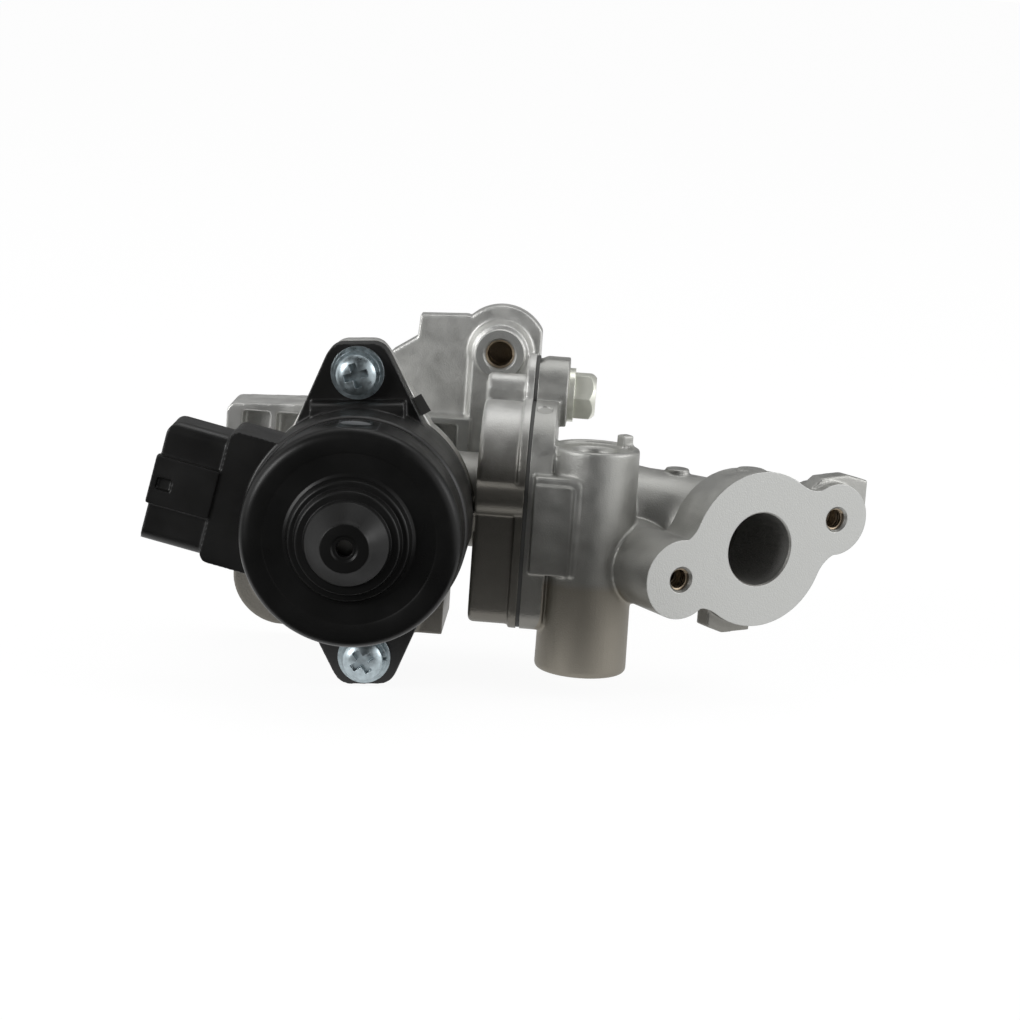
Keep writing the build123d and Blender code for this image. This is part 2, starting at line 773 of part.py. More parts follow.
def terminal_box(column, row):
    """One flat terminal, from inside the block to inside the shell."""
    floor_x = shell_mouth + shell_room
    middle_z = sum(shell_z) / 2
    middle_depth = sum(shell_depth) / 2
    z = middle_z + (column - (pin_columns - 1) / 2) * pin_pitch
    depth = middle_depth + (row - (pin_rows - 1) / 2) * pin_row_gap
    shape = rectangle((floor_x - pin_len + pin_root, floor_x + pin_root), (z - pin_w / 2, z + pin_w / 2))
    return plug_spin * slab(shape, depth - pin_t / 2, depth + pin_t / 2)


def motor_case():
    """Moulded case: screw ears, round body, bearing floor and connector in one piece."""
    case = slab(ear_outline(case_ear_r, case_core_r), case_back, ear_front)
    body = disc(case_r, case_back, case_front)
    body = fillet(body.edges().sort_by(Axis.Y)[0], case_edge)
    case += body
    case += ear_gusset(1) + ear_gusset(-1)
    case += plug_body()
    case -= disc(spring_room_r, case_back, case_floor[0])
    case -= disc(yoke_r, case_floor[1], case_front)
    case -= disc(yoke_r + cap_lip_wall, case_front - cap_lip, case_front)
    case -= disc(drive_screw_r + free_gap, *case_floor)
    case -= disc(bearing_r, case_floor[1] - bearing_w + yoke_sheet, case_floor[1])
    for point in screw_points:
        case -= disc(screw_r + free_gap + liner_wall, case_back, ear_front, point)
    for column in range(pin_columns):
        for row in range(pin_rows):
            case -= terminal_box(column, row)
    return case


def ear_liner(point):
    """Steel sleeve moulded into a screw ear, so that the screw cannot crush the plastic."""
    inner = screw_r + free_gap
    return ring(inner + liner_wall, inner, case_back, ear_front, point)


def plain_washer(point):
    return ring(washer_r, screw_r + free_gap, ear_front, ear_front + washer_t, point)


def lock_washer(point):
    """Split spring washer."""
    back = ear_front + washer_t
    front = back + lock_washer_t
    washer = ring(lock_washer_r, screw_r + free_gap, back, front, point)
    slot = rectangle((0, lock_washer_r * 2), (-lock_washer_slot / 2, lock_washer_slot / 2))
    return washer - slab(Pos(*point) * slot, back, front)


def motor_screw(point):
    """Pan head machine screw with a cross recess."""
    seat = ear_front + washer_t + lock_washer_t
    top = seat + screw_head_h
    head = disc(screw_head_r, seat, top, point)
    head = fillet(head.edges().sort_by(Axis.Y)[0], screw_head_edge)
    arm = Rectangle(cross_span, cross_w) + Rectangle(cross_w, cross_span)
    head -= slab(Pos(*point) * Rot(0, 0, 45) * arm, top - cross_deep, top)
    return head + disc(screw_r, flange_face - flange_t - screw_out, seat, point)


def motor_cap():
    """Deep-drawn cap with a stepped nose over the front bearing."""
    cap = disc(cap_r, case_front, cap_front)
    cap = fillet(cap.edges().sort_by(Axis.Y)[0], cap_edge)
    cap += disc(yoke_r + cap_lip_wall, case_front - cap_lip, case_front)
    back = cap_front
    for radius, front in nose_steps:
        cap += disc(radius, back, front)
        back = front
    foot, tip = nose_cone
    cap += turned((0, back), (foot[0], back), foot, tip, nose_disc, (0, nose_disc[1]))
    cap -= disc(yoke_r, case_front - cap_lip, cap_front - cap_front_wall)
    cap -= disc(bearing_r, cap_front - cap_front_wall, rotor_front + bearing_w)
    cap -= disc(nose_bore_r, rotor_front, nose_bore_front)
    return cap - disc(nose_hole_r, nose_bore_front, nose_disc[1])


def yoke(back, front):
    """Pressed steel half of the stator: a ring channel, open inwards, that holds one coil."""
    bore = magnet_r + air_gap
    channel = ring(yoke_r, bore, back, front)
    return channel - ring(yoke_r - yoke_sheet, bore, back + yoke_sheet, front - yoke_sheet)


def coil(back, front):
    """Winding that fills one yoke."""
    bore = magnet_r + air_gap
    return ring(yoke_r - yoke_sheet, bore, back + yoke_sheet, front - yoke_sheet)


def bearing(back):
    return ring(bearing_r, journal_r + run_gap, back, back + bearing_w)


def rotor_nut():
    """Threaded rotor core with a journal at each end."""
    return turned(
        (drive_screw_r + run_gap, rotor_back - bearing_w),
        (journal_r, rotor_back - bearing_w),
        (journal_r, rotor_back),
        (nut_r, rotor_back),
        (nut_r, rotor_front),
        (journal_r, rotor_front),
        (journal_r, rotor_front + bearing_w - journal_short),
        (drive_screw_r + run_gap, rotor_front + bearing_w - journal_short),
    )


def rotor_magnet():
    return ring(magnet_r, nut_r, rotor_back + magnet_margin, rotor_front - magnet_margin)


def flatted(radius):
    """A round section with two flats, which stop the drive screw from turning."""
    return Circle(radius) & Rectangle(2 * radius, 2 * radius - (2 * drive_screw_r - drive_screw_flats))


def drive_screw():
    """Screw that the rotor drives along the axis: flatted at the back, threaded in front."""
    back = stem_front + shut_gap
    flat_front = back + drive_screw_flat_len
    screw = slab(flatted(drive_screw_r), back, flat_front)
    return screw + disc(drive_screw_r, flat_front, back + drive_screw_len)


def screw_guide():
    """Plate at the bottom of the spring room, whose flatted hole holds the drive screw."""
    plate = Circle(spring_room_r) - flatted(drive_screw_r + run_gap)
    return slab(plate, case_floor[0] - guide_t, case_floor[0])


# ================================================================== moving valve
def valve_stem():
    """Stem with a spigot at each end: the back one is riveted over the poppet."""
    poppet_front = seat_back + seat_bevel
    return turned(
        (0, poppet_back - rivet_h),
        (rivet_r, poppet_back - rivet_h),
        (rivet_r, poppet_back),
        (stem_spigot_r, poppet_back),
        (stem_spigot_r, poppet_front),
        (stem_r, poppet_front),
        (stem_r, keeper_back),
        (stem_spigot_r, keeper_back),
        (stem_spigot_r, stem_front),
        (0, stem_front),
    )


def valve_poppet():
    """Poppet disc, its cone parallel to the seat bevel."""
    face_sum = seat_bore_r + seat_bevel + seat_back - shut_gap * 2 ** 0.5
    front = seat_back + seat_bevel
    return turned(
        (stem_spigot_r, poppet_back),
        (poppet_r, poppet_back),
        (poppet_r, face_sum - poppet_r),
        (face_sum - front, front),
        (stem_spigot_r, front),
    )


def spring_keeper():
    """Dished washer that carries the spring on the stem."""
    hub_front = keeper_back + keeper_t + keeper_hub_t
    keeper = ring(keeper_r, stem_spigot_r, keeper_back, keeper_back + keeper_t)
    return keeper + ring(keeper_hub_r, stem_spigot_r, keeper_back, hub_front)


def keeper_clip():
    back = keeper_back + keeper_t + keeper_hub_t
    return ring(clip_r, stem_spigot_r, back, back + clip_t)


def return_spring():
    """Coil spring between the housing floor and the keeper."""
    back = spring_floor + spring_play + wire_r
    height = keeper_back - spring_play - wire_r - back
    path = Helix(height / coil_turns, height, coil_r)
    wire = sweep(Plane(origin=path @ 0, z_dir=path % 0) * Circle(wire_r), path=path, is_frenet=True)
    return Pos(0, -back, 0) * Rot(90, 0, 0) * wire


# ================================================================== assembly
def turned_with_motor(parts):
    return {name: motor_spin * part for name, part in parts.items()}


def valve_parts():
    return {
        "valve_stem": valve_stem(),
        "valve_poppet": valve_poppet(),
        "spring_keeper": spring_keeper(),
        "keeper_clip": keeper_clip(),
        "return_spring": return_spring(),
    }


def casting_parts():
    return {
        "valve_housing": valve_housing(),
        "valve_seat": valve_seat(),
        "guide_bush": guide_bush(),
        "stem_seal": stem_seal(),
        "joint_gasket": joint_gasket(),
        "joint_housing": joint_housing(),
        "dowel_pin": dowel_pin(),
        "joint_bolt_upper": joint_bolt(joint_ear),
        "joint_bolt_lower": joint_bolt(joint_heel),
    }


def motor_parts():
    yoke_middle = (yoke_back + yoke_front) / 2
    parts = {
        "motor_seal": motor_seal(),
        "motor_case": motor_case(),
        "motor_cap": motor_cap(),
        "yoke_back": yoke(yoke_back, yoke_middle),
        "yoke_front": yoke(yoke_middle, yoke_front),
        "coil_back": coil(yoke_back, yoke_middle),
        "coil_front": coil(yoke_middle, yoke_front),
        "bearing_back": bearing(rotor_back - bearing_w - yoke_sheet),
        "bearing_front": bearing(rotor_front),
        "rotor_nut": rotor_nut(),
        "rotor_magnet": rotor_magnet(),
        "drive_screw": drive_screw(),
        "screw_guide": screw_guide(),
    }
    for place, point in zip(("upper", "lower"), screw_points):
        parts[f"ear_liner_{place}"] = ear_liner(point)
        parts[f"plain_washer_{place}"] = plain_washer(point)
        parts[f"lock_washer_{place}"] = lock_washer(point)
        parts[f"motor_screw_{place}"] = motor_screw(point)
    for column in range(pin_columns):
        for row in range(pin_rows):
            parts[f"terminal_{column + 1}{row + 1}"] = terminal_box(column, row)
    return turned_with_motor(parts)


for name, part in {**casting_parts(), **valve_parts(), **motor_parts()}.items():
    part.label = name
    export_step(part, f"parts/{name}.step")
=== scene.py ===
# %% [markdown]
# # Dressing an exhaust gas recirculation valve
#
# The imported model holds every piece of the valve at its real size, in metres: +Y leaves the engine
# face, the motor sits at -Y, and +Z runs up the bolt sleeve. This lesson gives those pieces the
# look of die-cast aluminium, moulded plastic and plated steel, and adds what a CAD model leaves
# out: soft casting edges, threads, recesses and marks. The first cell loads the frame.

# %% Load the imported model
import json
import bmesh
import bpy
from math import cos, pi, radians, sin, tan
from mathutils import Matrix, Vector


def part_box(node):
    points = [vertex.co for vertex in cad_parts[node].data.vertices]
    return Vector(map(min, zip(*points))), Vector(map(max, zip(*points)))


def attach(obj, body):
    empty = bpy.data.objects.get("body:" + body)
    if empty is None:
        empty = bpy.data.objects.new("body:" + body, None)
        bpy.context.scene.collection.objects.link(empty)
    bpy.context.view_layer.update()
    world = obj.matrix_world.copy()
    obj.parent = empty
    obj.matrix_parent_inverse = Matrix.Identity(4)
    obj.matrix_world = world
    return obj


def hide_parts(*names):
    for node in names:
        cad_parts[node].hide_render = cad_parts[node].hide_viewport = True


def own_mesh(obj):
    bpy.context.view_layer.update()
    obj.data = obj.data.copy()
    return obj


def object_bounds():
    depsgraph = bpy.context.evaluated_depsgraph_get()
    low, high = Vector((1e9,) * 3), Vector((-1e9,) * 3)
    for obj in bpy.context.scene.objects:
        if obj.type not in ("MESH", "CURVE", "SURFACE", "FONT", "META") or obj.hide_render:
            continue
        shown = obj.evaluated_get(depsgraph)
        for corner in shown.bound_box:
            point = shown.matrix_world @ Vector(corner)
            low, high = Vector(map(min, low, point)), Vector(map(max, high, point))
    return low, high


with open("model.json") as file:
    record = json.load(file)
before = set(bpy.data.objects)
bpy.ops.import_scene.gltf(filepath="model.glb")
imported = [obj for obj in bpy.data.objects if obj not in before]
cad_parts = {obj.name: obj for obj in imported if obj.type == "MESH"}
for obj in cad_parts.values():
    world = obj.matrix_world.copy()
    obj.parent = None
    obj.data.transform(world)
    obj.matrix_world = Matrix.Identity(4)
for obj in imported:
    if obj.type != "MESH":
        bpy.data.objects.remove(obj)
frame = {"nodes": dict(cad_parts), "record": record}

MM = 0.001
cad_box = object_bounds()
nodes = frame["nodes"]
scene = bpy.context.scene

# %% [markdown]
# ## Camera
#
# A long lens from a little above, turned slightly clockwise, keeps the parallel edges of the
# castings nearly parallel. The camera stands on a ball around an aim point, so four numbers say
# everything else: the azimuth, the elevation, the roll and the distance.

# %% Camera
IMAGE_SIZE = 1020
FOCAL_LENGTH_PIXELS = 3051.2
SENSOR = 36.0
AZIMUTH, ELEVATION, ROLL = radians(1.938), radians(10.859), radians(4.031)
AIM = Vector((0.0331, -0.035, 0.0016))
DISTANCE = 0.7


def camera_axes():
    """Right, up and backward directions of the camera."""
    back = Vector((sin(AZIMUTH) * cos(ELEVATION), -cos(AZIMUTH) * cos(ELEVATION), sin(ELEVATION)))
    level = Vector((cos(AZIMUTH), sin(AZIMUTH), 0))
    upright = back.cross(level)
    right = level * cos(ROLL) + upright * sin(ROLL)
    return right, back.cross(right), back


right, up, back = camera_axes()
lens = bpy.data.cameras.new("camera")
lens.sensor_width = SENSOR
lens.lens = FOCAL_LENGTH_PIXELS * SENSOR / IMAGE_SIZE
camera = bpy.data.objects.new("camera", lens)
scene.collection.objects.link(camera)
turn = Matrix((right, up, back)).transposed().to_4x4()
camera.matrix_world = Matrix.Translation(AIM + back * DISTANCE) @ turn
scene.camera = camera
print("lens", round(lens.lens, 1), "mm")

# %% [markdown]
# ## A short way to write node trees
#
# Shader and geometry trees are built the same way: make a node, set what is plain on it, and fill
# each input with a number or with another node's output. One helper, put, does all three, and
# the others rest on it.

# %% Node helpers


def put(tree, kind, values=None, **settings):
    """Adds a node. values maps inputs to numbers or to the sockets that feed them."""
    made = tree.nodes.new(kind)
    for name, value in settings.items():
        setattr(made, name, value)
    for key, value in (values or {}).items():
        if isinstance(value, bpy.types.NodeSocket):
            tree.links.new(value, made.inputs[key])
        else:
            made.inputs[key].default_value = value
    return made


def new_group(name, kind, inputs, outputs):
    """A node group with its sockets, its input node and its output node."""
    tree = bpy.data.node_groups.new(name, kind)
    for way, sockets in (("INPUT", inputs), ("OUTPUT", outputs)):
        for socket, socket_type, *default in sockets:
            made = tree.interface.new_socket(socket, in_out=way, socket_type=socket_type)
            if default:
                made.default_value = default[0]
    return tree, tree.nodes.new("NodeGroupInput"), tree.nodes.new("NodeGroupOutput")


def maths(tree, operation, *values, clamp=False):
    """Output of one maths node."""
    return put(tree, "ShaderNodeMath", dict(enumerate(values)), operation=operation,
               use_clamp=clamp).outputs[0]


def blend_colour(tree, factor, one, other):
    """Output colour of one mix node. The sockets 0, 6 and 7 are those of its colour mode."""
    return put(tree, "ShaderNodeMix", {0: factor, 6: one, 7: other}, data_type="RGBA").outputs[2]


FLOAT, VECTOR = "NodeSocketFloat", "NodeSocketVector"
print("helpers ready")

# %% [markdown]
# ## Floor, light and background
#
# Bare metal has no colour of its own to show: what it looks like is what it mirrors. So the valve
# stands in a white tent with soft lamps above it, to its right and to its left. Black cloths lie
# in front of it, hang behind the camera and close the top between the two, and a grey card stands
# behind it. Cloths and card are seen by mirrors only. Faces that look at the camera come out dark
# grey, and edges that turn up or to a side draw bright lines. What the camera sees of the floor
# is mostly the floor's own light, so it comes out white, and the rest takes the valve's shadow.

# %% Floor
FLOOR_HALF = 12.0
FLOOR_DROP = 0.0004
FLOOR_GLOW = 0.9
FLOOR_LIFT = 1.035
FLOOR_SEEN = 1.0
FLOOR_BOUNCE = 0.3
floor_z = cad_box[0][2] - FLOOR_DROP


def background_rays(tree):
    """1 for the rays that should meet a white background: those of the eye, mirrors and glass."""
    path = put(tree, "ShaderNodeLightPath")
    eye, glass, mirror = (path.outputs[f"Is {kind} Ray"]
                          for kind in ("Camera", "Transmission", "Glossy"))
    return maths(tree, "MAXIMUM", maths(tree, "MAXIMUM", eye, glass), mirror)


def floor_material():
    """White to the eye, and a dimmer grey where it only throws light back at the valve."""
    material = bpy.data.materials.new("floor_white")
    material.use_nodes = True
    tree = material.node_tree
    tree.nodes.clear()
    seen = background_rays(tree)
    grey = maths(tree, "MULTIPLY_ADD", seen, FLOOR_SEEN - FLOOR_BOUNCE, FLOOR_BOUNCE)
    matt = put(tree, "ShaderNodeBsdfDiffuse", {"Color": grey})
    glow = put(tree, "ShaderNodeEmission", {"Color": (1, 1, 1, 1), "Strength": FLOOR_LIFT})
    share = maths(tree, "MULTIPLY", seen, FLOOR_GLOW)
    mix = put(tree, "ShaderNodeMixShader", {0: share, 1: matt.outputs[0], 2: glow.outputs[0]})
    put(tree, "ShaderNodeOutputMaterial", {"Surface": mix.outputs[0]})
    return material


def stage_sheet(name, corners, material):
    """A flat sheet of the stage."""
    mesh = bpy.data.meshes.new(name)
    mesh.from_pydata(corners, [], [tuple(range(len(corners)))])
    mesh.materials.append(material)
    sheet = bpy.data.objects.new(name, mesh)
    scene.collection.objects.link(sheet)
    return sheet


signs = ((-1, -1), (1, -1), (1, 1), (-1, 1))
stage_sheet("floor", [(x * FLOOR_HALF, y * FLOOR_HALF, floor_z) for x, y in signs],
            floor_material())
print("floor at", round(floor_z / MM, 2), "mm")

# %% World and lamps
TENT_STRENGTH = 0.48


def light_tent():
    """White to the eye and to mirrors, and dimmer as a light."""
    world = bpy.data.worlds.new("white_tent")
    scene.world = world
    world.use_nodes = True
    tree = world.node_tree
    tree.nodes.clear()
    strength = maths(tree, "MULTIPLY_ADD", background_rays(tree), 1 - TENT_STRENGTH, TENT_STRENGTH)
    sky = put(tree, "ShaderNodeBackground", {"Color": (1, 1, 1, 1), "Strength": strength})
    put(tree, "ShaderNodeOutputWorld", {"Surface": sky.outputs[0]})


def lamp(name, place, size, power):
    """Round soft lamp that looks at the valve."""
    light = bpy.data.lights.new(name, "AREA")
    light.shape = "DISK"
    light.size = size
    light.energy = power
    made = bpy.data.objects.new(name, light)
    scene.collection.objects.link(made)
    look = (AIM - Vector(place)).to_track_quat("-Z", "Y")
    made.matrix_world = Matrix.Translation(place) @ look.to_matrix().to_4x4()


light_tent()
lamp("lamp_above", place=(0.25, 0.1, 1.3), size=0.9, power=2.5)
lamp("lamp_right", place=(1.35, -0.3, 0.5), size=0.7, power=4)
lamp("lamp_left", place=(-1.2, -1.1, 0.5), size=0.7, power=13)
scene.view_settings.view_transform = "Standard"
print("tent and three lamps")

# %% Black cloths and a grey card
CLOTH_GREY, CARD_GREY = 0.06, 0.3
CLOTH_LIFT = 0.0006
CLOTH_NEAR, CLOTH_FAR = -0.075, -1.7
CLOTH_LEFT, CLOTH_RIGHT_NEAR, CLOTH_RIGHT_FAR = -1.6, 0.12, 0.8
CLOTH_TOP = 0.7
ROOF_NEAR, ROOF_TOP = -0.05, 1.2
CARD_FAR, CARD_HALF, CARD_TOP = 0.7, 1.3, 1.1


def cloth_material(name, grey):
    """Matt grey without any shine."""
    material = bpy.data.materials.new(name)
    material.use_nodes = True
    shader = material.node_tree.nodes["Principled BSDF"]
    shader.inputs["Base Color"].default_value = (grey, grey, grey, 1)
    shader.inputs["Roughness"].default_value = 1.0
    shader.inputs["Specular IOR Level"].default_value = 0.0
    return material


def mirrors_only(sheet):
    """Hides a sheet from everything but reflections."""
    sheet.visible_camera = False
    sheet.visible_diffuse = False
    sheet.visible_shadow = False
    sheet.visible_transmission = False


low = floor_z + CLOTH_LIFT
laid = [(CLOTH_LEFT, CLOTH_FAR, low), (CLOTH_RIGHT_FAR, CLOTH_FAR, low),
        (CLOTH_RIGHT_NEAR, CLOTH_NEAR, low), (CLOTH_LEFT, CLOTH_NEAR, low)]
hung = [(CLOTH_LEFT, CLOTH_FAR, low), (CLOTH_LEFT, CLOTH_FAR, CLOTH_TOP),
        (CLOTH_RIGHT_FAR, CLOTH_FAR, CLOTH_TOP), (CLOTH_RIGHT_FAR, CLOTH_FAR, low)]
roof = [(CLOTH_LEFT, CLOTH_FAR, CLOTH_TOP), (CLOTH_LEFT, ROOF_NEAR, ROOF_TOP),
        (CLOTH_RIGHT_FAR, ROOF_NEAR, ROOF_TOP), (CLOTH_RIGHT_FAR, CLOTH_FAR, CLOTH_TOP)]
behind = [(-CARD_HALF, CARD_FAR, low), (-CARD_HALF, CARD_FAR, CARD_TOP),
          (CARD_HALF, CARD_FAR, CARD_TOP), (CARD_HALF, CARD_FAR, low)]
black = cloth_material("black_cloth", CLOTH_GREY)
card = cloth_material("grey_card", CARD_GREY)
for name, corners, material in (("cloth_laid", laid, black), ("cloth_hung", hung, black),
                                ("cloth_roof", roof, black), ("card_behind", behind, card)):
    mirrors_only(stage_sheet(name, corners, material))
print("three black cloths, from", CLOTH_NEAR, "to", CLOTH_FAR, "m, and a grey card")

# %% [markdown]
# ## Tools for making solids
#
# A few small tools serve every new piece. A lathe turns an outline about an axis, a corner tool
# rounds the outline first, and a block gives a straight cutter. Another tool freezes an object's
# modifiers into a plain mesh, which is what the model keeps.

# %% Lathe, rounding and blocks
LATHE_STEPS = 128


def in_metres(rows):
    """Rows of millimetres as rows of metres."""
    return [tuple(value * MM for value in row) for row in rows]


def rounded(outline, steps=5):
    """Rounds the corners of a closed outline of (radius, height, corner radius)."""
    points = []
    for number, (x, y, corner) in enumerate(outline):
        here = Vector((x, y))
        before = (Vector(outline[number - 1][:2]) - here).normalized()
        after = (Vector(outline[(number + 1) % len(outline)][:2]) - here).normalized()
        if corner == 0:
            points.append(here)
            continue
        half = before.angle(after) / 2
        centre = here + (before + after).normalized() * corner / sin(half)
        first = here + before * corner / tan(half) - centre
        last = here + after * corner / tan(half) - centre
        sweep = first.angle_signed(last)
        for step in range(steps + 1):
            points.append(centre + Matrix.Rotation(-sweep * step / steps, 2) @ first)
    return [(point.x, point.y) for point in points]


def lathe(work, foot, way, outline, closed=False, steps=LATHE_STEPS):
    """Turns (radius, height) points about an axis. A closed outline makes a ring-shaped solid."""
    turn = Vector(way).to_track_quat("Z", "Y").to_matrix().to_4x4()
    place = Matrix.Translation(foot) @ turn
    rings = []
    for radius, height in outline:
        ring = [Vector((radius * cos(2 * pi * k / steps), radius * sin(2 * pi * k / steps), height))
                for k in range(steps)]
        rings.append([work.verts.new(place @ point) for point in ring])
    upper = rings[1:] + rings[:1] if closed else rings[1:]
    for low_ring, high_ring in zip(rings, upper):
        for k in range(steps):
            after = (k + 1) % steps
            work.faces.new((low_ring[k], low_ring[after], high_ring[after], high_ring[k]))
    if not closed:
        work.faces.new(rings[0][::-1])
        work.faces.new(rings[-1])
    bmesh.ops.recalc_face_normals(work, faces=work.faces)


def block(work, low_corner, high_corner):
    """A box between two corners."""
    size = Vector(high_corner) - Vector(low_corner)
    centre = (Vector(high_corner) + Vector(low_corner)) / 2
    place = Matrix.Translation(centre) @ Matrix.Diagonal((*size, 1))
    bmesh.ops.create_cube(work, size=1.0, matrix=place)


print("lathe of", LATHE_STEPS, "steps")

# %% From working mesh to finished piece
SMOOTH_ANGLE = radians(32)
SLOT_OF = {row["node"]: row["material_slot"] for row in frame["record"]["subparts"]}


def as_piece(work, name):
    """Puts a working mesh into a new object at the origin."""
    mesh = bpy.data.meshes.new(name)
    work.to_mesh(mesh)
    work.free()
    piece = bpy.data.objects.new(name, mesh)
    scene.collection.objects.link(piece)
    return piece


def settle(piece):
    """Freezes the modifiers into the mesh."""
    view = bpy.context.evaluated_depsgraph_get()
    mesh = bpy.data.meshes.new_from_object(piece.evaluated_get(view))
    piece.modifiers.clear()
    old, piece.data = piece.data, mesh
    bpy.data.meshes.remove(old)
    mesh.name = piece.name


def smooth(piece, angle=SMOOTH_ANGLE):
    """Smooth shading, with the edges past an angle left sharp."""
    piece.data.shade_smooth()
    piece.data.set_sharp_from_angle(angle=angle)


def stand_for(piece, material, *replaced):
    """Gives a piece of the housing its finish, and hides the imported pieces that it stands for."""
    piece.data.materials.clear()
    piece.data.materials.append(material)
    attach(piece, "housing")
    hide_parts(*replaced)


# %% [markdown]
# ## Places that the record gives
#
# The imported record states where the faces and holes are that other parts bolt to. What is
# machined, threaded or darkened below is placed from these. Only what the record leaves out,
# such as the marks, the sleeve's sunk floor and the outlet's tilt, has a number of its own.

# %% Faces and holes
mounts = {mount["name"]: mount for mount in frame["record"]["mounts"]}


def mount_place(name):
    """Position and direction of a mount."""
    return Vector(mounts[name]["pos_m"]), Vector(mounts[name]["axis"]).normalized()


def mount_size(name, size):
    """One size of a mount."""
    return mounts[name]["dims"][size] * MM


OUTLET, OUTLET_WAY = mount_place("outlet_bore")
STAY, STAY_WAY = mount_place("stay_hole")
SLEEVE, SLEEVE_WAY = mount_place("sleeve_bore")
INLET, INLET_WAY = mount_place("gas_inlet")
BORE_R = mount_size("outlet_bore", "r_mm")
TAP_R = mount_size("outlet_bolts", "hole_r_mm")
STAY_R = mount_size("stay_hole", "r_mm")
STAY_DEEP = mount_size("stay_hole", "length_mm")
SLEEVE_R = mount_size("sleeve_bore", "r_mm")
INLET_R = mount_size("gas_inlet", "r_mm")
OUTLET_TILT = radians(16.5)
level = Vector((0, 0, 1)).cross(OUTLET_WAY)
along_flange = level * cos(OUTLET_TILT) + Vector((0, 0, 1)) * sin(OUTLET_TILT)
reach = mount_size("outlet_bolts", "pcd_mm") / 2
TAPS = [OUTLET + along_flange * side * reach for side in (-1, 1)]
JOINT_FACE_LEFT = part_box("joint_gasket")[0][0]
JOINT_FACE_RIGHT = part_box("joint_gasket")[1][0]
print("outlet holes at", [tuple(round(v / MM, 1) for v in tap) for tap in TAPS])

# %% [markdown]
# ## The two castings
#
# Real housings are cast first and machined after. Molten metal leaves no sharp corner: every edge
# is rounded and every inner corner is filled. Then a cutter makes the joint faces flat and the
# holes true, and there the edges are crisp. The model is made in the same order. A copy of the
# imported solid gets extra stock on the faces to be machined. A voxel remesh and a few rounds of
# smoothing melt its edges. Last, Boolean cutters take the stock away again. A Bevel modifier was
# the other choice, but it can't fill the inner corners and fails where many small faces meet.

# %% Casting and machining
CAST_VOXEL, CAST_ROUNDS = 0.3 * MM, 8
SOFTENING = 0.5
STOCK = 1.0 * MM
ON_FACE = 0.004 * MM
WELD = 0.001 * MM
DRILL_OVER = 0.5 * MM
MOST_TRIANGLES = 190_000


def cast(node, name, faces=(), voxel=CAST_VOXEL, rounds=CAST_ROUNDS):
    """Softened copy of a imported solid. faces are (direction, point, test) and get stock."""
    work = bmesh.new()
    work.from_mesh(nodes[node].data)
    bmesh.ops.remove_doubles(work, verts=work.verts, dist=WELD)
    for direction, point, test in faces:
        for vert in work.verts:
            off = vert.co.dot(direction) - point.dot(direction)
            if abs(off) < ON_FACE and test(vert.co):
                vert.co += direction * STOCK
    piece = as_piece(work, name)
    remesh = piece.modifiers.new("remesh", "REMESH")
    remesh.mode = "VOXEL"
    remesh.voxel_size = voxel
    soften = piece.modifiers.new("soften", "SMOOTH")
    soften.factor = SOFTENING
    soften.iterations = rounds
    settle(piece)
    return piece


def machine(piece, cutters):
    """Takes the cutters away from a piece."""
    for cutter in cutters:
        cut = piece.modifiers.new("cut", "BOOLEAN")
        cut.operation = "DIFFERENCE"
        cut.solver = "MANIFOLD"
        cut.object = cutter
    settle(piece)
    for cutter in cutters:
        bpy.data.objects.remove(cutter)


def thin_out(piece):
    """Keeps a piece under the largest number of triangles."""
    count = sum(len(face.vertices) - 2 for face in piece.data.polygons)
    if count > MOST_TRIANGLES:
        fewer = piece.modifiers.new("fewer", "DECIMATE")
        fewer.ratio = MOST_TRIANGLES / count
        fewer.use_collapse_triangulate = True
        settle(piece)
    print(piece.name, "has", len(piece.data.polygons), "faces, from", count, "triangles")


def block_cutter(*corners):
    """A box that cuts."""
    work = bmesh.new()
    block(work, *corners)
    return as_piece(work, "cutter")


def round_cutter(foot, way, outline):
    """A turned shape that cuts."""
    work = bmesh.new()
    lathe(work, foot, way, outline)
    return as_piece(work, "cutter")


def hole_cutter(mouth, way, radius, deep, bevel):
    """Drill with a countersink that starts a little outside the mouth."""
    wide = radius + bevel + DRILL_OVER
    outline = [(radius, -deep), (radius, -bevel), (wide, DRILL_OVER), (wide, 2 * DRILL_OVER)]
    return round_cutter(mouth, way, outline)


def everywhere(place):
    """The test of a face that gets stock all over."""
    return True


print("casting in voxels of", CAST_VOXEL / MM, "mm")

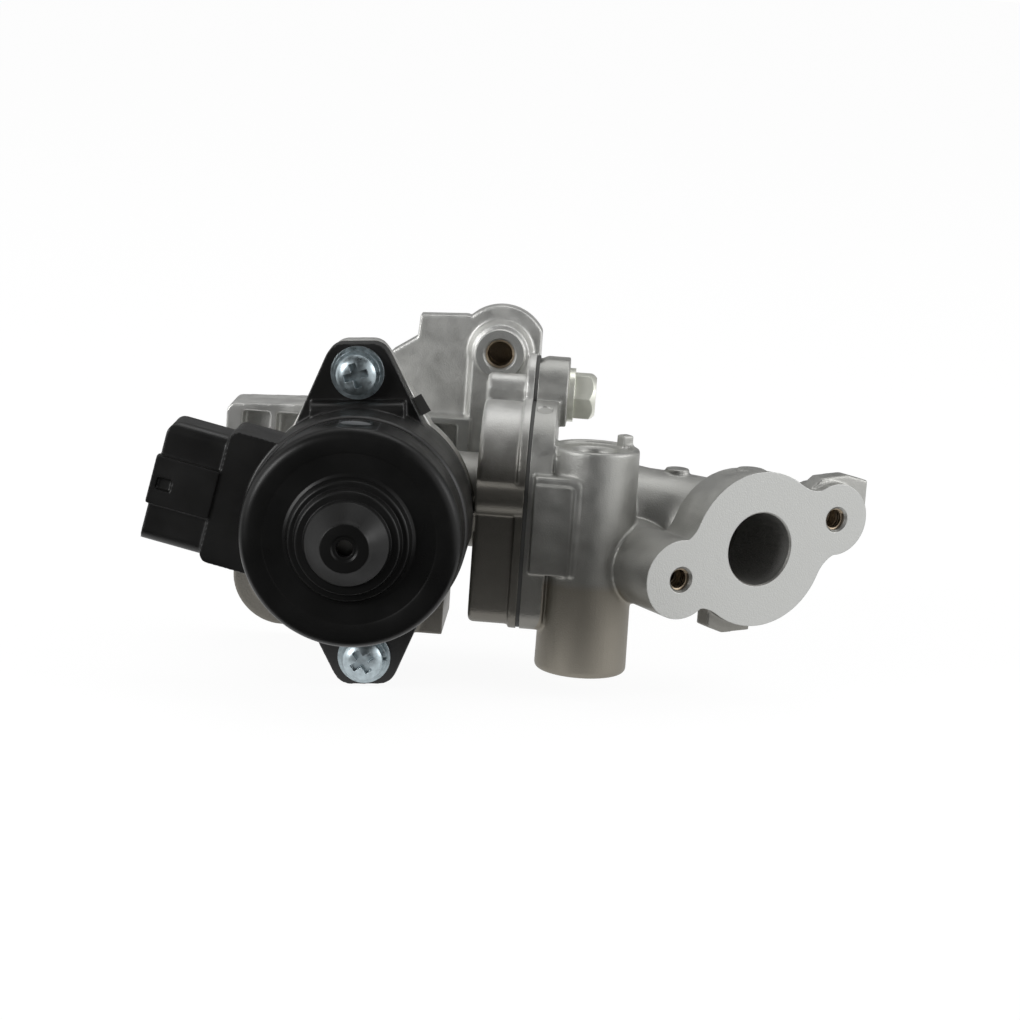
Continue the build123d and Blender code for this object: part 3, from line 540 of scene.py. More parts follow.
# %% Valve housing
# FAR lies outside the valve, CUT is the depth of a milling cut, and PLATE is the engine flange
FAR = 60 * MM
CUT = 3 * MM
PLATE = 5.0 * MM
SEAT_R, SEAT_MARGIN, SEAT_CUT = 5.7 * MM, 0.4 * MM, 2 * MM
STAY_BEVEL = 0.5 * MM
INLET_DEEP, INLET_BEVEL = 5 * MM, 0.4 * MM
east, north = Vector((1, 0, 0)), Vector((0, 1, 0))
joint_left = Vector((JOINT_FACE_LEFT, 0, 0))
valve_cast = cast("valve_housing", "valve_casting", [
    (north, INLET, everywhere),
    (east, joint_left, lambda place: place.y < -PLATE),
    (STAY_WAY, STAY, lambda place: (place - STAY).length < SEAT_R + MM)])
machine(valve_cast, [
    block_cutter((-FAR, 0, -FAR), (FAR, CUT, FAR)),
    block_cutter((JOINT_FACE_LEFT, -FAR, -FAR), (JOINT_FACE_LEFT + CUT, -PLATE, FAR)),
    round_cutter(STAY, STAY_WAY, [
        (STAY_R, -STAY_DEEP), (STAY_R, -STAY_BEVEL), (STAY_R + STAY_BEVEL, 0),
        (SEAT_R + SEAT_MARGIN, 0), (SEAT_R + SEAT_MARGIN, SEAT_CUT)]),
    hole_cutter(INLET, INLET_WAY, INLET_R, INLET_DEEP, INLET_BEVEL)])
thin_out(valve_cast)

# %% Joint housing
SLEEVE_FLOOR = 17.1 * MM
OUTLET_DEEP, OUTLET_BEVEL = 10 * MM, 0.35 * MM
SLEEVE_DEEP, SLEEVE_BEVEL = 40 * MM, 0.8 * MM
TAP_DEEP, TAP_BEVEL = 17 * MM, 0.55 * MM
EJECTOR_MARK = Vector((39.4, -31.2, 24.85)) * MM
EJECTOR_WAY = Vector((0, -0.33, 0.944))
# rows of radius and height over the mouth, in millimetres
EJECTOR_OUTLINE = [(1.6, -0.35), (1.9, 0.0), (1.9, 1.0)]
sleeve_mouth = Vector((SLEEVE.x, SLEEVE.y, SLEEVE_FLOOR))
joint_right = Vector((JOINT_FACE_RIGHT, 0, 0))
joint_cast = cast("joint_housing", "joint_casting", [
    (-east, joint_right, everywhere),
    (OUTLET_WAY, OUTLET, everywhere)])
machine(joint_cast, [
    block_cutter((JOINT_FACE_RIGHT - CUT, -FAR, -FAR), (JOINT_FACE_RIGHT, FAR, FAR)),
    round_cutter(OUTLET, OUTLET_WAY, [(FAR, 0), (FAR, CUT)]),
    hole_cutter(OUTLET, OUTLET_WAY, BORE_R, OUTLET_DEEP, OUTLET_BEVEL),
    hole_cutter(sleeve_mouth, SLEEVE_WAY, SLEEVE_R, SLEEVE_DEEP, SLEEVE_BEVEL),
    round_cutter(EJECTOR_MARK, EJECTOR_WAY, in_metres(EJECTOR_OUTLINE)),
    *[hole_cutter(tap, OUTLET_WAY, TAP_R, TAP_DEEP, TAP_BEVEL) for tap in TAPS]])
thin_out(joint_cast)

# %% [markdown]
# ## The moulded motor case
#
# The case with its connector is one injection moulding. Its edges are rounded too, though less
# than those of a casting, so the same melting serves with a finer voxel and fewer rounds.

# %% Motor case
CASE_VOXEL, CASE_ROUNDS = 0.25 * MM, 4
case_moulding = cast("motor_case", "motor_case_moulding", voxel=CASE_VOXEL, rounds=CASE_ROUNDS)
thin_out(case_moulding)

# %% [markdown]
# ## The motor cap
#
# The cap is a deep-drawn cup whose nose steps out in rings around the screw. Its shape follows a
# rule, an outline turned about the motor's axis, so it is made on the lathe, with its corners
# rounded. The inside has the seats of the front bearing and of the screw's tip. A shallow round
# mark is cut in the top of the cup, and its floor is painted a lighter grey: a painted highlight.

# %% Motor cap
# each row: radius, distance in front of the engine face and corner radius, in millimetres
CAP_OUTLINE = [
    (23.2, 60.0, 0.0), (23.2, 62.05, 0.0), (24.5, 62.05, 0.3), (24.5, 75.0, 2.6),
    (19.4, 75.0, 0.0), (19.0, 74.85, 0.2), (14.6, 74.85, 0.3), (13.9, 75.2, 0.25),
    (13.2, 77.2, 0.7), (11.9, 77.2, 0.2), (11.4, 79.4, 0.6), (9.6, 79.4, 0.25),
    (9.2, 80.6, 0.5), (6.0, 84.4, 0.4), (5.3, 85.3, 0.35), (3.0, 85.3, 0.15),
    (2.6, 85.0, 0.15), (1.9, 85.0, 0.1), (1.9, 83.2, 0.0), (4.4, 83.2, 0.0),
    (4.4, 77.0, 0.0), (8.0, 77.0, 0.0), (8.0, 73.4, 0.0), (21.6, 73.4, 0.6),
    (21.6, 60.0, 0.0),
]
CAP_STEPS = 192
CAP_SHARP = radians(50)
MARK_X, MARK_Y, MARK_FLOOR = -0.8 * MM, -66.2 * MM, 24.1 * MM
# rows of radius and height over the floor of the mark, in millimetres
MARK_OUTLINE = [(3.4, 0.0), (3.8, 0.4), (3.8, 2.0)]
work = bmesh.new()
outline = rounded(in_metres(CAP_OUTLINE))
lathe(work, (0, 0, 0), (0, -1, 0), outline, closed=True, steps=CAP_STEPS)
cap_turning = as_piece(work, "motor_cap_turning")
machine(cap_turning, [
    round_cutter((MARK_X, MARK_Y, MARK_FLOOR), (0, 0, 1), in_metres(MARK_OUTLINE))])
smooth(cap_turning, CAP_SHARP)
print("cap outline has", len(outline), "points")

# %% [markdown]
# ## Motor screws
#
# Two pan head screws hold the motor by its ears. They are the same screw twice, each stopped at
# another angle, which is what Geometry Nodes are good for: one tree makes the screw from named
# sizes, sets it on two points and turns each by a random angle with a fixed seed. The head is a
# cylinder whose top sinks towards its rim, with a cross recess cut out of it.

# %% Tools for geometry trees


def node_output(tree, kind, values=None, output=0, **settings):
    """Adds a node and returns one of its outputs."""
    return put(tree, kind, values, **settings).outputs[output]


def vector_of(tree, x=0.0, y=0.0, z=0.0):
    """Output vector of three parts."""
    return node_output(tree, "ShaderNodeCombineXYZ", {"X": x, "Y": y, "Z": z})


def moved(tree, geometry, offset=(0, 0, 0), turn=(0, 0, 0)):
    """Output geometry of one transform."""
    return node_output(tree, "GeometryNodeTransform", {
        "Geometry": geometry, "Translation": offset, "Rotation": turn})


def hand_out(tree, given, out, geometry):
    """Gives the geometry its material and hands it to the tree's output."""
    dressed = put(tree, "GeometryNodeSetMaterial", {
        "Geometry": geometry, "Material": given.outputs["Material"]})
    tree.links.new(dressed.outputs[0], out.inputs["Geometry"])


def tree_result(name, tree, source, inputs, material):
    """Runs a geometry tree on a mesh, and keeps what it makes as a plain mesh."""
    piece = bpy.data.objects.new(name, source)
    scene.collection.objects.link(piece)
    modifier = piece.modifiers.new("nodes", "NODES")
    modifier.node_group = tree
    sockets = {item.name: item.identifier for item in tree.interface.items_tree
               if item.item_type == "SOCKET" and item.in_out == "INPUT"}
    for key, value in {**inputs, "Material": material}.items():
        modifier[sockets[key]] = value
    settle(piece)
    print(name, "has", len(piece.data.polygons), "faces")
    return piece


GEOMETRY, MATERIAL, INTEGER = "NodeSocketGeometry", "NodeSocketMaterial", "NodeSocketInt"
print("geometry tools ready")

# %% Screw tree
SCREW_SEED = 3
CROWN_POWER = 4.0
SHANK_OVERLAP = 0.2 * MM
# the core of the recess: its length and the height of its middle in depths of the recess, and
# the radii of its mouth and its foot in spans of the recess
CORE_LENGTH, CORE_MIDDLE = 2.6, 0.22
CORE_MOUTH, CORE_FOOT = 0.5, 0.21


def cross_cutter(tree, given):
    """Cross of two bars and a tapered core, which leaves the recess."""
    wide, narrow, deep, top = (given.outputs[key] for key in (
        "Recess Span", "Recess Width", "Recess Depth", "Head Height"))
    lift = vector_of(tree, z=top)
    tall = maths(tree, "MULTIPLY", deep, 2.0)
    lift_core = vector_of(tree, z=maths(tree, "MULTIPLY_ADD", deep, CORE_MIDDLE, top))
    bars = []
    for x, y in ((wide, narrow), (narrow, wide)):
        bar = node_output(tree, "GeometryNodeMeshCube", {"Size": vector_of(tree, x, y, tall)})
        bars.append(moved(tree, bar, lift))
    core = put(tree, "GeometryNodeMeshCone", {
        "Vertices": 24, "Radius Top": maths(tree, "MULTIPLY", wide, CORE_MOUTH),
        "Radius Bottom": maths(tree, "MULTIPLY", wide, CORE_FOOT),
        "Depth": maths(tree, "MULTIPLY", deep, CORE_LENGTH)})
    return [*bars, moved(tree, core.outputs[0], lift_core)]


def screw_tree():
    """Two pan head screws, one on each side of the motor's axis."""
    tree, given, out = new_group(
        "pan_screws", "GeometryNodeTree",
        [("Geometry", GEOMETRY), ("Head Radius", FLOAT, 4.5 * MM),
         ("Head Height", FLOAT, 3.4 * MM), ("Crown", FLOAT, 1.3 * MM),
         ("Shank Radius", FLOAT, 3 * MM), ("Shank Length", FLOAT, 14.6 * MM),
         ("Recess Span", FLOAT, 5.6 * MM), ("Recess Width", FLOAT, 1.7 * MM),
         ("Recess Depth", FLOAT, 1.6 * MM), ("Seat", FLOAT, 49.4 * MM),
         ("Reach", FLOAT, 32.65 * MM), ("Motor Turn", FLOAT, radians(4.75)),
         ("Seed", INTEGER, SCREW_SEED), ("Material", MATERIAL)],
        [("Geometry", GEOMETRY)])
    radius, height = given.outputs["Head Radius"], given.outputs["Head Height"]
    disc = put(tree, "GeometryNodeMeshCylinder", {
        "Vertices": 64, "Side Segments": 4, "Fill Segments": 14, "Radius": radius,
        "Depth": height})
    disc = moved(tree, disc.outputs[0], vector_of(tree, z=maths(tree, "MULTIPLY", height, 0.5)))
    place = put(tree, "ShaderNodeSeparateXYZ", {0: node_output(tree, "GeometryNodeInputPosition")})
    flat = vector_of(tree, place.outputs[0], place.outputs[1])
    off_axis = node_output(tree, "ShaderNodeVectorMath", {0: flat}, "Value", operation="LENGTH")
    share = maths(tree, "POWER", maths(tree, "DIVIDE", off_axis, radius), CROWN_POWER)
    raised = maths(tree, "DIVIDE", place.outputs[2], height)
    drop = maths(tree, "MULTIPLY", maths(tree, "MULTIPLY", share, raised), given.outputs["Crown"])
    head = node_output(tree, "GeometryNodeSetPosition", {
        "Geometry": disc, "Offset": vector_of(tree, z=maths(tree, "MULTIPLY", drop, -1.0))})
    bolt = put(tree, "GeometryNodeMeshCylinder", {
        "Vertices": 48, "Radius": given.outputs["Shank Radius"],
        "Depth": given.outputs["Shank Length"]})
    below = maths(tree, "MULTIPLY_ADD", given.outputs["Shank Length"], -0.5, SHANK_OVERLAP)
    bolt = moved(tree, bolt.outputs[0], vector_of(tree, z=below))
    whole = put(tree, "GeometryNodeMeshBoolean", operation="UNION", solver="MANIFOLD")
    for part in (head, bolt):
        tree.links.new(part, whole.inputs["Mesh 2"])
    cut = put(tree, "GeometryNodeMeshBoolean", {"Mesh 1": whole.outputs[0]},
              operation="DIFFERENCE", solver="MANIFOLD")
    for cutter in cross_cutter(tree, given):
        tree.links.new(cutter, cut.inputs["Mesh 2"])
    screw = moved(tree, cut.outputs[0], turn=(radians(90), 0, 0))
    seat = maths(tree, "MULTIPLY", given.outputs["Seat"], -1.0)
    screw = moved(tree, screw, vector_of(tree, y=seat))
    reach_down = maths(tree, "MULTIPLY", given.outputs["Reach"], -1.0)
    points = node_output(tree, "GeometryNodeMeshLine", {
        "Count": 2, "Start Location": vector_of(tree, z=reach_down),
        "Offset": vector_of(tree, z=maths(tree, "MULTIPLY", given.outputs["Reach"], 2.0))})
    leaning = vector_of(tree, y=maths(tree, "MULTIPLY", given.outputs["Motor Turn"], -1.0))
    points = moved(tree, points, turn=leaning)
    angle = node_output(tree, "FunctionNodeRandomValue", {
        2: 0.0, 3: 2 * pi, "Seed": given.outputs["Seed"]}, 1, data_type="FLOAT")
    spin = node_output(tree, "FunctionNodeEulerToRotation", {0: vector_of(tree, y=angle)})
    placed = node_output(tree, "GeometryNodeInstanceOnPoints", {
        "Points": points, "Instance": screw, "Rotation": spin})
    real = node_output(tree, "GeometryNodeRealizeInstances", {"Geometry": placed})
    hand_out(tree, given, out, real)
    return tree


SCREW_TREE = screw_tree()
print("tree", SCREW_TREE.name, "with", len(SCREW_TREE.nodes), "nodes")

# %% [markdown]
# ## Threads
#
# Three holes are tapped: the two beside the outlet and the one in the upper ear. A thread is one
# ridge wound round the wall, so one tree sweeps a small triangle along a spiral of radius one and
# sets it into every hole. A point stands at each mouth and carries the hole's direction and
# radius as attributes, and the tree reads them to turn and size each copy.

# %% Thread tree


def thread_tree():
    """A wound ridge in every hole. Pitch and ridge are in radii of the hole."""
    tree, given, out = new_group(
        "tapped_threads", "GeometryNodeTree",
        [("Geometry", GEOMETRY), ("Turns", FLOAT, 6.0), ("Pitch", FLOAT, 0.36),
         ("Ridge", FLOAT, 0.13), ("Steps", INTEGER, 36), ("Material", MATERIAL)],
        [("Geometry", GEOMETRY)])
    turns = given.outputs["Turns"]
    spiral = put(tree, "GeometryNodeCurveSpiral", {
        "Resolution": given.outputs["Steps"], "Rotations": turns,
        "Start Radius": 1.0, "End Radius": 1.0,
        "Height": maths(tree, "MULTIPLY", turns, given.outputs["Pitch"])})
    ridge = put(tree, "GeometryNodeCurvePrimitiveCircle", {
        "Resolution": 3, "Radius": given.outputs["Ridge"]}, mode="RADIUS")
    wound = node_output(tree, "GeometryNodeCurveToMesh", {
        "Curve": spiral.outputs[0], "Profile Curve": ridge.outputs[0], "Fill Caps": True})
    way = put(tree, "GeometryNodeInputNamedAttribute", {"Name": "way"}, data_type="FLOAT_VECTOR")
    size = put(tree, "GeometryNodeInputNamedAttribute", {"Name": "radius"}, data_type="FLOAT")
    turn = put(tree, "FunctionNodeAlignRotationToVector", {"Vector": way.outputs[0]}, axis="Z")
    placed = node_output(tree, "GeometryNodeInstanceOnPoints", {
        "Points": given.outputs["Geometry"], "Instance": wound, "Rotation": turn.outputs[0],
        "Scale": vector_of(tree, size.outputs[0], size.outputs[0], size.outputs[0])})
    real = node_output(tree, "GeometryNodeRealizeInstances", {"Geometry": placed})
    hand_out(tree, given, out, real)
    return tree


def hole_points(rows):
    """Mesh of one point for each hole, with its direction and its radius."""
    mesh = bpy.data.meshes.new("holes")
    mesh.from_pydata([mouth for mouth, _, _ in rows], [], [])
    ways = mesh.attributes.new("way", "FLOAT_VECTOR", "POINT")
    ways.data.foreach_set("vector", [part for _, way, _ in rows for part in way])
    sizes = mesh.attributes.new("radius", "FLOAT", "POINT")
    sizes.data.foreach_set("value", [radius for _, _, radius in rows])
    return mesh


THREAD_TREE = thread_tree()
THREAD_START = 0.8 * MM
TAPPED = [(tap, OUTLET_WAY, TAP_R) for tap in TAPS] + [(STAY, STAY_WAY, STAY_R)]
print("tree", THREAD_TREE.name, "for", len(TAPPED), "holes")

# %% [markdown]
# ## Effects that several finishes share
#
# Real edges are never quite sharp. A Bevel node rounds the shading of an edge, and where its
# normal leaves the true one, there is an edge: that difference is a mask for wear as well. Grain,
# a darkening that is painted shade and partly an oil film, machined faces and bores are the
# other shared effects. Each is a node group with named inputs, built once, and each puts out
# only masks, heights and normals.

# %% Edge rounding and edge wear


def soft_edges_group():
    """Normal with rounded edges, and a mask of those edges."""
    tree, given, out = new_group(
        "soft_edges", "ShaderNodeTree",
        [("Radius", FLOAT, 0.4 * MM), ("Start", FLOAT, 0.03), ("Full", FLOAT, 0.25)],
        [("Normal", VECTOR), ("Edge", FLOAT)])
    rounded = put(tree, "ShaderNodeBevel", {"Radius": given.outputs["Radius"]}, samples=6)
    true = put(tree, "ShaderNodeNewGeometry")
    dot = put(tree, "ShaderNodeVectorMath", {0: rounded.outputs[0], 1: true.outputs["Normal"]},
              operation="DOT_PRODUCT")
    apart = maths(tree, "SUBTRACT", 1.0, dot.outputs["Value"])
    edge = put(tree, "ShaderNodeMapRange", {"Value": apart, "From Min": given.outputs["Start"],
                                            "From Max": given.outputs["Full"]})
    tree.links.new(rounded.outputs[0], out.inputs["Normal"])
    tree.links.new(edge.outputs[0], out.inputs["Edge"])
    return tree


SOFT_EDGES = soft_edges_group()
print("group", SOFT_EDGES.name)

# %% Grain


def grain_group():
    """Fine skin of a casting or a moulding: a height, and slow changes of tone."""
    tree, given, out = new_group(
        "grain", "ShaderNodeTree",
        [("Grain Size", FLOAT, 0.25 * MM), ("Cloud Size", FLOAT, 12 * MM)],
        [("Height", FLOAT), ("Tone", FLOAT)])
    place = put(tree, "ShaderNodeTexCoord").outputs["Object"]
    fine = put(tree, "ShaderNodeTexNoise", {
        "Vector": place, "Scale": maths(tree, "DIVIDE", 1.0, given.outputs["Grain Size"]),
        "Detail": 2.0, "Roughness": 0.6})
    clouds = put(tree, "ShaderNodeTexNoise", {
        "Vector": place, "Scale": maths(tree, "DIVIDE", 1.0, given.outputs["Cloud Size"]),
        "Detail": 4.0, "Roughness": 0.55})
    tree.links.new(fine.outputs[0], out.inputs["Height"])
    tree.links.new(clouds.outputs[0], out.inputs["Tone"])
    return tree


GRAIN = grain_group()
print("group", GRAIN.name)

# %% Oil film and painted shade
DRIFTS_PER_METRE = 90.0


def oil_film_and_shade_group():
    """Painted shade, partly an oil film, from 0 at a height to 1 at a lower one, in drifts. Lean
    makes it thicker in front.
    """
    tree, given, out = new_group(
        "oil_film", "ShaderNodeTree",
        [("Clean Above", FLOAT, 10 * MM), ("Full Below", FLOAT, -20 * MM),
         ("Drift", FLOAT, 12 * MM), ("Lean", FLOAT, 0.0)],
        [("Mask", FLOAT)])
    place = put(tree, "ShaderNodeTexCoord").outputs["Object"]
    parts = put(tree, "ShaderNodeSeparateXYZ", {0: place})
    height = maths(tree, "MULTIPLY_ADD", parts.outputs[1], given.outputs["Lean"], parts.outputs[2])
    drifts = put(tree, "ShaderNodeTexNoise", {
        "Vector": place, "Scale": DRIFTS_PER_METRE, "Detail": 5.0, "Roughness": 0.6}).outputs[0]
    shift = maths(tree, "MULTIPLY", maths(tree, "SUBTRACT", drifts, 0.5), given.outputs["Drift"])
    mask = put(tree, "ShaderNodeMapRange", {
        "Value": maths(tree, "ADD", height, shift), "From Min": given.outputs["Clean Above"],
        "From Max": given.outputs["Full Below"]}, interpolation_type="SMOOTHSTEP")
    tree.links.new(mask.outputs[0], out.inputs["Mask"])
    return tree


OIL_FILM_AND_SHADE = oil_film_and_shade_group()
print("group", OIL_FILM_AND_SHADE.name)

# %% Masks for machined faces and for bores


def near_plane_group():
    """1 on a plane and 0 away from it. The plane is given by its normal and its offset."""
    tree, given, out = new_group(
        "near_plane", "ShaderNodeTree",
        [("Direction", VECTOR, (0, 0, 1)), ("Offset", FLOAT, 0.0), ("Reach", FLOAT, 0.03 * MM)],
        [("Mask", FLOAT)])
    place = put(tree, "ShaderNodeTexCoord").outputs["Object"]
    along = put(tree, "ShaderNodeVectorMath", {0: place, 1: given.outputs["Direction"]},
                operation="DOT_PRODUCT").outputs["Value"]
    away = maths(tree, "ABSOLUTE", maths(tree, "SUBTRACT", along, given.outputs["Offset"]))
    mask = maths(tree, "LESS_THAN", away, given.outputs["Reach"])
    tree.links.new(mask, out.inputs["Mask"])
    return tree


def near_axis_group():
    """1 inside a radius about an axis, from the mouth inwards to the end, and 0 outside it."""
    tree, given, out = new_group(
        "near_axis", "ShaderNodeTree",
        [("Mouth", VECTOR, (0, 0, 0)), ("Direction", VECTOR, (0, 0, 1)), ("Radius", FLOAT, 1 * MM),
         ("End", FLOAT, 20 * MM), ("Fade", FLOAT, 2 * MM)],
        [("Mask", FLOAT)])
    place = put(tree, "ShaderNodeTexCoord").outputs["Object"]
    from_mouth = put(tree, "ShaderNodeVectorMath", {0: place, 1: given.outputs["Mouth"]},
                     operation="SUBTRACT").outputs[0]
    along = put(tree, "ShaderNodeVectorMath", {0: from_mouth, 1: given.outputs["Direction"]},
                operation="DOT_PRODUCT").outputs["Value"]
    off = put(tree, "ShaderNodeVectorMath", {0: from_mouth, 1: given.outputs["Direction"]},
              operation="CROSS_PRODUCT").outputs[0]
    away = put(tree, "ShaderNodeVectorMath", {0: off}, operation="LENGTH").outputs["Value"]
    within = maths(tree, "LESS_THAN", away, given.outputs["Radius"])
    depth = maths(tree, "MULTIPLY", along, -1.0)
    deep = maths(tree, "DIVIDE", depth, given.outputs["Fade"], clamp=True)
    before_end = maths(tree, "LESS_THAN", depth, given.outputs["End"])
    inside = maths(tree, "MULTIPLY", within, before_end)
    tree.links.new(maths(tree, "MULTIPLY", inside, deep), out.inputs["Mask"])
    return tree


NEAR_PLANE = near_plane_group()
NEAR_AXIS = near_axis_group()
print("groups", NEAR_PLANE.name, NEAR_AXIS.name)

# %% [markdown]
# ## Finishes
#
# Every finish starts from the same base: a Principled shader whose normal comes from the soft
# edges, roughened by the grain. What differs is the colour, how metallic it is, how rough it is,
# and what the grain and the edges do to the colour.

# %% Base of every finish
# the noise keeps mostly between these two values
TONE_LOW, TONE_HIGH = 0.3, 0.7


def group_node(tree, group, **values):
    """Places a node group. Its inputs are given in words, with _ for a space."""
    named = {key.replace("_", " ").title(): value for key, value in values.items()}
    return put(tree, "ShaderNodeGroup", named, node_tree=group)


def around(tree, tone, middle, change):
    """Output value that follows the tone to both sides of a middle value."""
    return put(tree, "ShaderNodeMapRange", {
        "Value": tone, "From Min": TONE_LOW, "From Max": TONE_HIGH,
        "To Min": middle - change, "To Max": middle + change}).outputs[0]


def finish(name, colour, metallic, roughness, edge_radius, grain_size, grain_height,
           edge_colour=None, tone_change=0.12, rough_change=0.08, specular=0.5,
           cloud_size=12 * MM):
    """A new material. Returns it, its tree, its shader and its colour and roughness outputs."""
    material = bpy.data.materials.new(name)
    material.use_nodes = True
    tree = material.node_tree
    shader = tree.nodes["Principled BSDF"]
    edges = group_node(tree, SOFT_EDGES, radius=edge_radius)
    grain = group_node(tree, GRAIN, grain_size=grain_size, cloud_size=cloud_size)
    bump = put(tree, "ShaderNodeBump", {
        "Height": grain.outputs["Height"], "Strength": 1.0, "Distance": grain_height,
        "Normal": edges.outputs["Normal"]})
    tree.links.new(bump.outputs[0], shader.inputs["Normal"])
    tone = around(tree, grain.outputs["Tone"], 1, tone_change)
    toned = put(tree, "ShaderNodeVectorMath", {0: colour, "Scale": tone},
                operation="SCALE").outputs[0]
    worn = blend_colour(tree, edges.outputs["Edge"], toned, (*(edge_colour or colour), 1))
    rough = around(tree, grain.outputs["Tone"], roughness, rough_change)
    tree.links.new(worn, shader.inputs["Base Color"])
    tree.links.new(rough, shader.inputs["Roughness"])
    shader.inputs["Metallic"].default_value = metallic
    shader.inputs["Specular IOR Level"].default_value = specular
    return material, tree, shader, worn, rough


def plain(*values, **settings):
    """A finish with nothing added."""
    return finish(*values, **settings)[0]


def overlay(tree, shader, colour, rough, mask, new_colour, new_rough):
    """Covers part of a finish with another colour and roughness."""
    colour = blend_colour(tree, mask, colour, (*new_colour, 1))
    lower = maths(tree, "MULTIPLY", rough, maths(tree, "SUBTRACT", 1.0, mask))
    rough = maths(tree, "MULTIPLY_ADD", mask, new_rough, lower)
    tree.links.new(colour, shader.inputs["Base Color"])
    tree.links.new(rough, shader.inputs["Roughness"])
    return colour, rough


print("finishes start from one function")

# %% [markdown]
# ## Die-cast aluminium
#
# The castings come out of the die with a fine grey skin. They darken towards the bottom, the
# valve housing towards the front as well: painted shade, partly a film of old oil. The two
# housings are one alloy in two greys, the joint housing darker and the valve housing lighter:
# painted shade and painted light. Faces that seal or clamp are milled, so a mask finds what lies
# on those planes and gives it one even grey. The gas ways are tinted a soot grey that is lightened
# where little light reaches inside: painted light. The threaded holes are tinted a darker brown,
# and below its parting line the bolt sleeve is browner.

# %% Castings
CAST_EDGE = (0.58, 0.58, 0.56)
MILLED = (0.53, 0.535, 0.52)
# soot grey, lightened to stand in for the light that hardly reaches into the gas ways: painted light
SOOT_AND_PAINTED_LIGHT = (0.45, 0.445, 0.43)
# darker brown inside the threaded holes
HOLE_BROWN = (0.3, 0.24, 0.17)
# colour of the darkening towards the bottom: painted shade, partly an oil film
FILM_AND_SHADE = (0.14, 0.13, 0.11)
COLUMN = (0.27, 0.25, 0.212)
FILM_AND_SHADE_ROUGH, MILLED_ROUGH, HOLE_ROUGH = 0.42, 0.42, 0.5
HOLE_MARGIN = 0.08 * MM


def casting(name, grey, film_and_shade, milled_planes, holes):
    """Cast skin darkened towards the bottom as painted shade, partly an oil film, with milled faces
    and tinted holes.
    """
    material, tree, shader, colour, rough = finish(
        name, grey, metallic=0.84, roughness=0.47, edge_radius=0.25 * MM,
        grain_size=0.34 * MM, grain_height=0.06 * MM, edge_colour=CAST_EDGE, cloud_size=5 * MM,
        tone_change=0.09)
    # darker towards the bottom, and with a lean towards the front: painted shade, partly an oil film
    clean_above, full_below, lean, most = film_and_shade
    film_and_shade_mask = group_node(tree, OIL_FILM_AND_SHADE, clean_above=clean_above, full_below=full_below,
                           lean=lean).outputs["Mask"]
    mask = maths(tree, "MULTIPLY", film_and_shade_mask, most)
    colour, rough = overlay(tree, shader, colour, rough, mask, FILM_AND_SHADE, FILM_AND_SHADE_ROUGH)
    for direction, point in milled_planes:
        mask = group_node(tree, NEAR_PLANE, direction=direction,
                          offset=point.dot(direction)).outputs["Mask"]
        colour, rough = overlay(tree, shader, colour, rough, mask, MILLED, MILLED_ROUGH)
    for mouth, direction, radius, end, tint in holes:
        mask = group_node(tree, NEAR_AXIS, mouth=mouth, direction=direction,
                          radius=radius + HOLE_MARGIN, end=end).outputs["Mask"]
        colour, rough = overlay(tree, shader, colour, rough, mask, tint, HOLE_ROUGH)
    return material


# one alloy in two greys: the darker joint housing is painted shade, the lighter valve housing
# painted light
# painted shade of a casting, partly an oil film: clean above, full below, lean to the front, and the
# share it ends at
JOINT_SHADED_GREY, JOINT_FILM_AND_SHADE = (0.46, 0.46, 0.44), (16 * MM, -24 * MM, 0.0, 0.65)
VALVE_LIT_GREY, VALVE_FILM_AND_SHADE = (0.65, 0.65, 0.63), (9 * MM, -14 * MM, 0.5, 0.92)
# where the tint of the sleeve starts, and how deep each tint of a hole goes
PARTING, COLUMN_R = Vector((SLEEVE.x, SLEEVE.y, -12 * MM)), 12 * MM
BORE_END, TAP_END, STAY_END = 20 * MM, 17.5 * MM, STAY_DEEP + MM
PASSAGE_R, PASSAGE_END = 13 * MM, 30 * MM
joint_skin = casting(
    "cast_joint_housing", JOINT_SHADED_GREY, JOINT_FILM_AND_SHADE, [(OUTLET_WAY, OUTLET)],
    [(PARTING, SLEEVE_WAY, COLUMN_R, FAR, COLUMN), (OUTLET, OUTLET_WAY, BORE_R, BORE_END, SOOT_AND_PAINTED_LIGHT)]
    + [(tap, OUTLET_WAY, TAP_R, TAP_END, HOLE_BROWN) for tap in TAPS])
valve_skin = casting(
    "cast_valve_housing", VALVE_LIT_GREY, VALVE_FILM_AND_SHADE, [(INLET_WAY, INLET), (STAY_WAY, STAY)],
    [(STAY, STAY_WAY, STAY_R, STAY_END, HOLE_BROWN), (INLET, INLET_WAY, PASSAGE_R, PASSAGE_END, SOOT_AND_PAINTED_LIGHT)])
print("finishes", joint_skin.name, valve_skin.name)

# %% Plastic, paint and plating
# grey of the mark's floor: painted highlight
MARK_HIGHLIGHT_GREY, MARK_ROUGH, MARK_REACH = (0.13, 0.135, 0.14), 0.4, 0.01 * MM
case_plastic = plain("moulded_case", (0.008, 0.0078, 0.0075), metallic=0.0, roughness=0.4,
                     edge_radius=0.25 * MM, grain_size=0.14 * MM, grain_height=0.01 * MM,
                     edge_colour=(0.014, 0.014, 0.0135), tone_change=0.2)
cap_paint, tree, shader, colour, rough = finish(
    "painted_cap", (0.0072, 0.0072, 0.007), metallic=0.0, roughness=0.34,
    edge_radius=0.2 * MM, grain_size=0.35 * MM, grain_height=0.005 * MM,
    edge_colour=(0.009, 0.009, 0.009), tone_change=0.15, specular=0.26)
